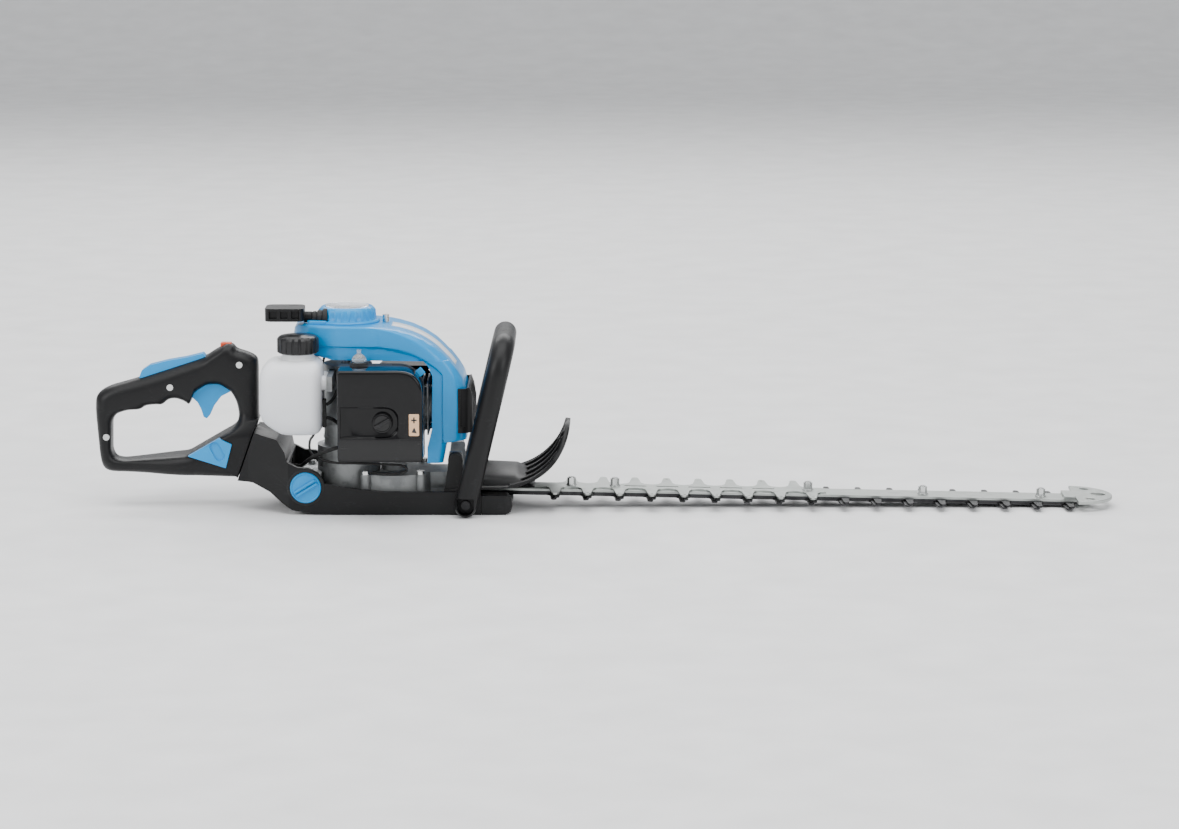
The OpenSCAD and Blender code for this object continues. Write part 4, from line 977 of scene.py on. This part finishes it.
@dataclass
class Shroud:
    """Blue engine shroud, starter dome with its ribs and disc, grille and pull grip."""

    front: tuple = (
        (55, 105), (74, 108.5), (77, 110), (79, 128), (80, 130.5), (84, 131), (120, 131),
        (134, 130), (146, 126.5), (155, 121), (166, 112.5), (174, 105), (182, 96.5), (190, 84.5),
        (196, 71.5), (200, 58), (202.4, 45), (203.6, 34), (204, 22),
    )  # fmt: skip
    rear: tuple = (
        (55, 88), (72, 88), (90, 93), (150, 94), (160, 90), (167, 84), (167.6, -16),
        (170, -24), (172, -55), (173, -58), (192, -58), (198, -56.6), (202, -52), (204, -45),
    )  # fmt: skip
    near_x: tuple = (-58, -57, -54, -48, -40, -30, -20, -10, 0, 10, 20, 200)
    near_y: tuple = (2, 5, 13, 22, 30, 36.4, 40.6, 43.6, 45.4, 46.5, 47, 47)
    far_y: tuple = (24, 27, 32, 37.5, 42, 45, 46.2, 46.8, 47, 47, 47, 47)
    corner: float = 16.0
    ridge: float = 2.4
    seam_x: float = 35.0

    def build(self, shop: Workshop) -> None:
        """Builds the shroud group.

        Args:
            shop: the workshop.
        """
        skin = make_piece("shroud_skin", [self.body_patch()], 40.0)
        shop.place(skin, Finish.BLUE, "chassis", "blue_plastic", ("engine_shroud",))
        self.label(shop)
        self.dome(shop)
        soften(shop, "front_grille", Finish.BLACK, "black_plastic", 0.8)
        soften(shop, "starter_grip", Finish.BLACK, "black_plastic", 2.4)
        LOG.info("shroud group built")

    def heights(self) -> np.ndarray:
        """Heights of the rings, close together where the front edge bends."""
        path = resample(np.asarray(self.front, float), 110, closed=False)[:, 0]
        extra = [167.0, 167.3, 167.6, 171.9, 172.5, 173.0]
        return np.unique(np.concatenate([path, extra]))

    def body_patch(self) -> Patch:
        """Rings stacked along Z.

        At each height the ring runs from the rear edge R(z) to the front edge F(z), with
        width w(x) less the ridge step below the shoulder, and quarter circles of the corner
        radius at the front. The last rings shrink to round the top rim.

        Returns:
            The closed patch.
        """
        z = self.heights()[:, None]
        f = np.interp(z, *np.array(self.front, float).T)
        r = np.interp(z, *np.array(self.rear, float).T)
        shrink = np.clip(z - 201.4, 0, None)
        inset = 2.6 - np.sqrt(np.clip(2.6**2 - shrink**2, 0, None))
        f, r = f - inset, r + inset
        c = np.minimum(self.corner, (f - r) * 0.42)
        s = np.linspace(0, 1, 60)[None, :]
        x_side = r + (f - c - r) * s
        seam = np.exp(-(((x_side - self.seam_x) / 0.5) ** 2)) * 0.5 * (z > 176)
        heights, places = zip(*self.front[::-1])
        crown = np.interp(x_side, places, heights)
        crown = np.where(x_side < 22, 204.0, crown)
        drop = np.clip((crown - z - 21.0) / 2.2, 0, 1)
        step = self.ridge * drop * drop * (3 - 2 * drop)
        near = -(np.interp(x_side, self.near_x, self.near_y) - inset - step - seam)
        far = np.interp(x_side, self.near_x, self.far_y) - inset - step * 0.4
        a = np.linspace(0, math.pi / 2, 12)[None, 1:]
        w = -near[:, -1:]
        x_c = f - c + c * np.sin(a)
        y_c = -(w - c + c * np.cos(a))
        w2 = far[:, -1:]
        y_f = np.linspace(0.1, 0.9, 6)[None, :]
        y_front = -(w - c) + (w + w2 - 2 * c) * y_f
        x = np.concatenate(
            [x_side, x_c, np.broadcast_to(f, y_front.shape), x_c[:, ::-1], x_side[:, ::-1]], 1
        )
        y_c2 = (w2 - c + c * np.cos(a))[:, ::-1]
        y = np.concatenate([near, y_c, y_front, y_c2, far[:, ::-1]], 1)
        return Patch(np.stack([x, y, np.broadcast_to(z, x.shape)], -1))

    def label(self, shop: Workshop) -> None:
        """Plain pale strip along the front slope: the front edge moved out by a hair.

        Args:
            shop: the workshop.
        """
        line = curve_through([(x, z) for z, x in self.front[9:17]], 6)
        out = -inward(line)
        line = line[2:-2] + out[2:-2] * np.sign(out[2:-2, 1:2]) * 0.05
        y = np.array([-20.0, -8.0, -7.0, 6.0])
        grid = np.stack(
            [
                np.broadcast_to(line[:, None, 0], (len(line), 4)),
                np.broadcast_to(y[None, :], (len(line), 4)),
                np.broadcast_to(line[:, None, 1], (len(line), 4)),
            ],
            -1,
        )
        strip = make_piece("slope_label", [Patch(grid, closed=False)], 60.0)
        wall = strip.modifiers.new("film", "SOLIDIFY")
        wall.thickness = 0.7 * MM
        wall.offset = 0.0
        shop.place(strip, Finish.WHITE, "chassis", "blue_plastic")

    def dome(self, shop: Workshop) -> None:
        """Ribbed dome turned round the crank axis, its silver disc, and the cord boot.

        Args:
            shop: the workshop.
        """
        profile = (
            (0.01, 203.6), (35.4, 203.6), (35.6, 205.4), (34.6, 206.6), (31.6, 207.2), (30.6, 208.6),
            (30.2, 212), (29.9, 216.5), (29.3, 218.6), (27.8, 220.2), (25.6, 220.9), (24.2, 220.9),
            (24, 220.3), (0.01, 220.3),
        )  # fmt: skip
        dome = turned(profile, (0, 0, 0), "z", 288, (26, 1.15, 0.32, 208.0, 217.0))
        foot = slab(
            round_corners([(-42, -27), (-20, -30), (-20, -4), (-42, -7)], 5), 203.4, 208, 1.6, "xy"
        )
        piece = make_piece("starter_dome", [dome, foot], 38.0)
        shop.place(piece, Finish.BLUE, "chassis", "blue_plastic", ("starter_housing",))
        disc = turned(
            ((0.01, 219.9), (23.6, 219.9), (23.8, 221.0), (23.2, 221.35), (22.4, 221.2), (0.01, 221.2)),
            (0, 0, 0), "z", 96,
        )  # fmt: skip
        shop.place(make_piece("dome_disc", [disc]), Finish.DISC, "chassis", "zinc")
        boot = turned(
            ((0.01, -36.8), (5.4, -36.8), (6.4, -36), (6.8, -33), (6, -31.5), (7.8, -30.5), (8, -27),
             (7.4, -25.8), (9.4, -24.6), (9.8, -20), (0.01, -20)),
            (0, -17, 210.6), "x", 40,
        )  # fmt: skip
        shop.place(make_piece("cord_boot", [boot]), Finish.RUBBER, "chassis", "rubber")


@dataclass
class FuelTank:
    """Milky tank, its bosses and the black ribbed cap."""

    outline: tuple = (
        (-90.5, 106), (-90.5, 152), (-88, 162), (-80, 169), (-70, 170.5), (-32, 170.5),
        (-25.5, 167), (-23.5, 156), (-23.5, 100), (-26.5, 93), (-34, 90), (-62, 90),
        (-70, 92),
    )  # fmt: skip
    near: float = -82.0
    far: float = -15.0
    cap: tuple = (-50.0, -50.0)

    def build(self, shop: Workshop) -> None:
        """Builds tank and cap.

        Args:
            shop: the workshop.
        """
        tank = make_piece("tank_skin", [self.shell(), *self.bosses()], 50.0)
        shop.place(tank, Finish.TANK, "chassis", "tank_plastic", ("fuel_tank",))
        x, y = self.cap
        profile = (
            (0.01, 177.1), (20.2, 177.1), (21.2, 177.8), (21.6, 178.6), (21.6, 192.4), (21, 194.4),
            (19.2, 195.6), (16, 196.2), (12.4, 196.3), (11.6, 196.7), (0.01, 196.9),
        )  # fmt: skip
        ribs = turned(profile, (x, y, 0), "z", 360, (20, 0.8, 0.62, 178.5, 192.5))
        cap = make_piece("cap_skin", [ribs], 30.0)
        shop.place(cap, Finish.GLOSS_CAP, "filler_cap", "black_plastic", ("fuel_cap",))
        LOG.info("fuel tank built")

    def shell(self) -> Patch:
        """The outline carried along Y, shrinking towards its middle at both ends.

        Ring scale is 1 - (1 - sin a) e / m, at e (1 - cos a) from the end, with e the rim
        radius and m the outline's mean half size.

        Returns:
            The closed patch.
        """
        loop = resample(round_corners(self.outline, 11, 8), 160)
        middle = (loop.min(0) + loop.max(0)) / 2
        a = np.linspace(0, math.pi / 2, 10)
        rim, half = 15.0, 36.0
        k = 1 - rim * (1 - np.sin(a)) / half
        d = rim * (1 - np.cos(a))
        scale = np.concatenate([k, [1.0, 1.0], k[::-1]])
        mid = (self.near + self.far) / 2
        depth = np.concatenate([self.near + d, [mid - 0.4, mid + 0.4], self.far - d[::-1]])
        scale[len(a) : len(a) + 2] = 1.012
        flat = middle + (loop - middle) * scale[:, None, None]
        y = np.broadcast_to(depth[:, None], flat.shape[:2])
        return Patch(np.stack([flat[..., 0], y, flat[..., 1]], -1))

    def bosses(self) -> list:
        """Filler neck and the two side bosses, turned."""
        x, y = self.cap
        neck = ((0.01, 160), (19, 160), (19, 171.5), (17.4, 173), (17, 174), (17, 184), (0.01, 184))
        boss = ((0.01, -27), (8.6, -27), (8.2, -23), (7.6, -20), (6.8, -18.6), (0.01, -18.6))
        return [
            turned(neck, (x, y, 0), "z", 72),
            turned(boss, (0, -62, 146), "x", 48),
            turned(boss, (0, -34, 146), "x", 48),
        ]


@dataclass
class RearHandle:
    """Rear handle halves with trigger, lockout, switch and swivel lock."""

    outline: tuple = (
        (-275.5, 113), (-273.5, 124), (-262, 132), (-230, 141), (-190, 154), (-153.5, 166),
        (-146.5, 171), (-137, 176.4), (-131.5, 180), (-124, 179), (-120.5, 173.5), (-108, 170),
        (-98.6, 165), (-97, 158), (-97.5, 93), (-80, 88), (-80, 33), (-122, 34.5), (-190, 36.4),
        (-260.5, 38.4), (-268, 42), (-270.5, 54),
    )  # fmt: skip
    opening: tuple = (
        (-257.5, 95), (-252, 103), (-239.5, 106.8), (-226, 107.3), (-220.5, 111.8), (-209, 113),
        (-202, 112.5), (-195.5, 118.8), (-187, 120), (-177, 116.2), (-172.7, 112), (-167.3, 126),
        (-153.5, 135), (-140, 135.4), (-127, 127.5), (-121, 116), (-118.5, 102), (-120, 94),
        (-126, 87), (-176, 58), (-245.4, 51.8), (-255, 54), (-258.5, 62),
    )  # fmt: skip
    middle: tuple = (-180.0, 78.0)
    seam: tuple = (-109.5, 61.5)
    tilt: float = 19.7
    half_width: float = 16.5
    base_width: float = 28.0
    outer_edge: float = 12.5
    inner_edge: float = 9.0

    def build(self, shop: Workshop) -> None:
        """Builds the handle group.

        Args:
            shop: the workshop.
        """
        for name, side in (("right", -1), ("left", 1)):
            piece = make_piece(f"grip_{name}", [self.half(side)], 60.0)
            shop.place(
                piece, Finish.BLACK, "rear_handle", "black_plastic", (f"handle_half_{name}",)
            )
        for node, finish, slot, edge in (
            ("trigger", Finish.BLUE, "blue_plastic", 1.6),
            ("lockout_lever", Finish.BLUE, "blue_plastic", 2.2),
            ("stop_switch", Finish.ORANGE, "switch_orange", 1.0),
            ("swivel_lock", Finish.BLUE, "blue_plastic", 1.2),
        ):
            soften(shop, node, finish, slot, edge)
        shop.dress("handle_screws", Finish.ZINC)
        LOG.info("rear handle built")

    def width(self, x: np.ndarray, z: np.ndarray) -> np.ndarray:
        """Half width: slim grip, wider ahead of x -248 and below z 106, eased between."""
        along = np.clip((x + 248) / 72, 0, 1)
        down = np.clip((106 - z) / 28, 0, 1)
        share = np.minimum(along * along * (3 - 2 * along), down * down * (3 - 2 * down))
        return self.half_width + (self.base_width - self.half_width) * share

    def half(self, side: int) -> Patch:
        """One half: rings round the opening, from the outer outline over to the inner one.

        For each ray the section goes up the outer wall, round a quarter circle, across the
        face with a slight crown, and down round the inner edge to the parting plane.

        Args:
            side: -1 for the near half, 1 for the far half.

        Returns:
            The closed patch.
        """
        angles = np.linspace(0, 2 * math.pi, 520, endpoint=False)
        out = reach(round_corners(self.outline, 9, 8), self.middle, angles)
        hole = reach(round_corners(self.opening, 4.5, 6), self.middle, angles)
        tilt = math.radians(self.tilt)
        toward = np.cos(angles) * math.cos(tilt) - np.sin(angles) * math.sin(tilt)
        gap = (self.seam[0] - self.middle[0]) * math.cos(tilt) - (
            self.seam[1] - self.middle[1]
        ) * math.sin(tilt)
        cut = np.where(toward > 1e-3, (gap - 0.4) / np.maximum(toward, 1e-3), 1e9)
        trimmed = out > cut
        out = np.minimum(out, cut)
        thick = out - hole
        ro = np.minimum(np.where(trimmed, 1.5, self.outer_edge), thick * 0.5)
        ri = np.minimum(self.inner_edge, thick * 0.5)
        a = np.linspace(0, math.pi / 2, 9)[:, None]
        mid = np.linspace(0, 1, 7)[1:-1, None]
        flat = (ro + ri) / thick
        s = np.concatenate(
            [
                np.zeros((1, len(angles))),
                ro / thick * (1 - np.cos(a)),
                ro / thick + (1 - flat) * mid,
                1 - ri / thick * (1 - np.cos(a[::-1])),
                np.ones((1, len(angles))),
            ]
        )
        r = out + (hole - out) * s
        x = self.middle[0] + r * np.cos(angles)
        z = self.middle[1] + r * np.sin(angles)
        w = self.width(x, z)
        crown = 1.2 * np.sin(np.pi * s)
        up = np.concatenate(
            [
                np.zeros((1, len(angles))),
                w[1:10] - np.minimum(ro, w[1:10] * 0.8) * (1 - np.sin(a)),
                w[10:15],
                w[15:24] - np.minimum(ri, w[15:24] * 0.8) * (1 - np.sin(a[::-1])),
                np.zeros((1, len(angles))),
            ]
        )
        y = np.maximum(up - 1.2 + crown * (up > 0), 0.05) * side
        return Patch(np.stack([x, y, z], -1), looped=True)


@dataclass
class FrontGroup:
    """Front loop handle and the curved hand guard with its ribs."""

    centre: tuple = (168.0, 103.5)
    radius: float = 75.0
    wall: float = 3.0
    front_z: tuple = (0, 48, 58, 70, 81, 89, 93, 95.2, 96)
    front_w: tuple = (56.5, 56.5, 54, 46, 37, 27, 18, 10, 2)

    def build(self, shop: Workshop) -> None:
        """Builds the front group.

        Args:
            shop: the workshop.
        """
        soften(shop, "front_handle", Finish.BLACK, "black_plastic", 0.8)
        guard = make_piece("guard_skin", [self.sheet(), *self.ribs(), *self.mound()], 50.0)
        shop.place(guard, Finish.BLACK, "chassis", "black_plastic", ("hand_guard",))
        # Painted shade: the bolts in the front handle's pocket get the dark grey plastic finish instead
        # of bare metal, so the pocket reads dark as if in shade.
        shop.dress("front_handle_bolts", Finish.DARK)
        LOG.info("front handle and guard built")

    def line(self, radius: float, start: float, end: float, count: int) -> np.ndarray:
        """Arc of the guard: centre + r (sin a, -cos a), angles in degrees."""
        a = np.radians(np.linspace(start, end, count))
        return np.stack(
            [self.centre[0] + radius * np.sin(a), self.centre[1] - radius * np.cos(a)], 1
        )

    def sheet(self) -> Patch:
        """The guard's sheet: a flat floor that runs into the arc, with a thicker rim.

        The section at each place goes across the outer face and back across the inner one;
        its thickness is the wall plus 2.4 mm within 5 mm of the rim.

        Returns:
            The closed patch.
        """
        floor = self.centre[1] - self.radius
        flat = np.stack([np.linspace(135, self.centre[0], 14)[:-1], np.full(13, floor)], 1)
        path = np.concatenate([flat, self.line(self.radius, 0, 84, 70)])
        t = np.gradient(path, axis=0)
        t = t / np.linalg.norm(t, axis=1)[:, None]
        n = np.stack([-t[:, 1], t[:, 0]], 1)
        w = np.interp(path[:, 1], self.front_z, self.front_w)
        s = np.linspace(-1, 1, 41)
        across = np.concatenate([s, s[::-1]])[None, :] * w[:, None]
        edge = np.clip((np.abs(across) - (w[:, None] - 5)) / 3.0, 0, 1)
        edge = edge * np.minimum(w / 20, 1)[:, None]
        edge = edge * (path[:, 1] > floor + 0.5)[:, None]
        rise = self.wall + 2.4 * edge * edge * (3 - 2 * edge)
        rim = np.abs(np.concatenate([s, s[::-1]])) > 0.999
        inner = np.concatenate([np.zeros(41), np.ones(41)])[None, :]
        off = inner * rise + rim[None, :] * (0.5 - inner) * rise * 0.5
        x = path[:, 0, None] + n[:, 0, None] * off
        z = path[:, 1, None] + n[:, 1, None] * off
        return Patch(np.stack([x, across, z], -1))

    def ribs(self) -> list:
        """Four ribs on the inner face, each a thin crescent between two arcs."""
        made = []
        for y in (-40.0, -14.0, 14.0, 40.0):
            top = 78 - 0.42 * abs(y)
            outer = self.line(self.radius - 2.5, 8, top, 30)
            loop = np.concatenate([outer, self.line(self.radius - 5.6, top - 4, 16, 30)])
            made.append(slab(loop, y - 1.6, y + 1.6, 0.7))
        return made

    def mound(self) -> list:
        """Smooth mound over the bar's clamp and the two feet of the guard.

        Height is h(x) (1 - u^2)^0.35 across the mound, with u from -1 to 1.

        Returns:
            The closed patches.
        """
        low = self.centre[1] - self.radius + 0.6
        x = np.linspace(136, 204, 40)
        h = np.interp(x, (136, 150, 184, 196, 204), (17, 17, 15, 8, 0.4))
        u = np.linspace(-1, 1, 41)
        y = 2 + 50 * u
        z = low + h[:, None] * (1 - u**2)[None, :] ** 0.35
        under = np.full_like(z, low)
        yy = np.broadcast_to(y[None, :], z.shape)
        xx = np.broadcast_to(x[:, None], z.shape)
        top = np.stack([xx, yy, z], -1)
        back = np.stack([xx, yy, under], -1)[:, ::-1][:, 1:-1]
        feet = [
            slab(round_corners([(134.2, s), (145.4, s), (145.4, s + 11), (134.2, s + 11)], 1.5),
                 25, 29.5, 0.6, "xy")
            for s in (-55.0, 44.0)
        ]  # fmt: skip
        return [Patch(np.concatenate([top, back], 1)), *feet]


@dataclass
class CuttingBar:
    """Guide bar, guard plate, blades, tip plate, bolts and nuts."""

    def build(self, shop: Workshop) -> None:
        """Softens the plates of the bar.

        Args:
            shop: the workshop.
        """
        soften(shop, "guard_plate", Finish.SATIN, "satin_steel", 0.5)
        soften(shop, "guide_bar", Finish.SATIN, "satin_steel", 0.4)
        soften(shop, "upper_blade", Finish.BLADE, "dark_steel", 0.3)
        soften(shop, "lower_blade", Finish.BLADE, "dark_steel", 0.3)
        soften(shop, "tip_plate", Finish.SATIN, "satin_steel", 0.5)
        soften(shop, "blade_nuts", Finish.ZINC, "zinc", 0.4)
        shop.dress("blade_bolts", Finish.ZINC)
        LOG.info("cutting bar built")


# ---------------------------------------------------------------- studio


@dataclass
class Studio:
    """Camera, pale floor and soft lights."""

    width: int = 1179
    focal: float = 3634.0
    camera: tuple = (0.2633, -3.905, 0.81)
    pitch: float = 10.3

    def build(self) -> None:
        """Makes the camera, the floor and the lights."""
        self.shoot()
        self.floor()
        self.light()
        LOG.info("studio ready")

    def shoot(self) -> None:
        """Camera to the right of the machine, a little above it, at a long focal length."""
        data = bpy.data.cameras.new("camera")
        data.sensor_width = 36.0
        data.lens = self.focal / self.width * 36.0
        data.clip_start, data.clip_end = 0.1, 60.0
        camera = bpy.data.objects.new("camera", data)
        camera.location = self.camera
        camera.rotation_euler = (math.radians(90 - self.pitch), 0.0, 0.0)
        bpy.context.scene.collection.objects.link(camera)
        bpy.context.scene.camera = camera

    def floor(self) -> None:
        """Pale floor that curves up far behind: z = rise (1 - cos v) past the bend."""
        y = np.concatenate([np.linspace(-14, 5, 12), 5 + 3 * np.sin(np.linspace(0.1, 1.57, 14))])
        z = np.concatenate([np.zeros(12), 3 * (1 - np.cos(np.linspace(0.1, 1.57, 14)))])
        y, z = np.append(y, 8.0), np.append(z, 12.0)
        x = np.linspace(-12, 12, 3)
        grid = np.stack(
            [
                np.broadcast_to(x[None, :], (len(y), 3)),
                np.broadcast_to(y[:, None], (len(y), 3)),
                np.broadcast_to(z[:, None] - 0.0002, (len(y), 3)),
            ],
            -1,
        )
        floor = make_piece("floor", [Patch(grid / MM, closed=False)], 60.0)
        pale = (0.9, 0.9, 0.9)
        finish = Moulded("pale_floor", pale, pale, 0.75, 40, 0.0, 0.0, 0.1)
        floor.data.materials.append(finish.make())

    def light(self) -> None:
        """One wide light overhead, two at the sides, a strip behind and a white sky."""
        for name, place, aim, size, power in (
            ("top", (0.2, -0.6, 3.2), (0.2, 0.0, 0.1), (4.0, 3.0), 130.0),
            ("left", (-2.6, -2.2, 1.9), (0.0, 0.0, 0.1), (2.0, 2.0), 62.0),
            ("right", (3.0, -2.4, 1.8), (0.2, 0.0, 0.1), (2.0, 2.0), 52.0),
            ("back", (0.0, 3.0, 2.4), (0.1, 0.0, 0.2), (4.0, 1.2), 95.0),
        ):
            data = bpy.data.lights.new(name, "AREA")
            data.shape = "RECTANGLE"
            data.size, data.size_y = size
            data.energy = power
            light = bpy.data.objects.new(name, data)
            light.location = place
            light.rotation_euler = (Vector(aim) - Vector(place)).to_track_quat("-Z", "Y").to_euler()
            bpy.context.scene.collection.objects.link(light)
        world = bpy.data.worlds.new("sky")
        world.use_nodes = True
        world.node_tree.nodes["Background"].inputs[0].default_value = (0.95, 0.97, 1.0, 1.0)
        world.node_tree.nodes["Background"].inputs[1].default_value = 0.65
        bpy.context.scene.world = world


def main() -> None:
    """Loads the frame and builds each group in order."""
    logging.basicConfig(level=logging.INFO, format="%(name)s: %(message)s")
    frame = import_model()
    shop = Workshop(frame)
    Studio().build()
    for group in (
        Base(),
        EngineBlock(),
        Cleaner(),
        Shroud(),
        FuelTank(),
        RearHandle(),
        FrontGroup(),
        CuttingBar(),
    ):
        group.build(shop)


if __name__ == "__main__":
    main()
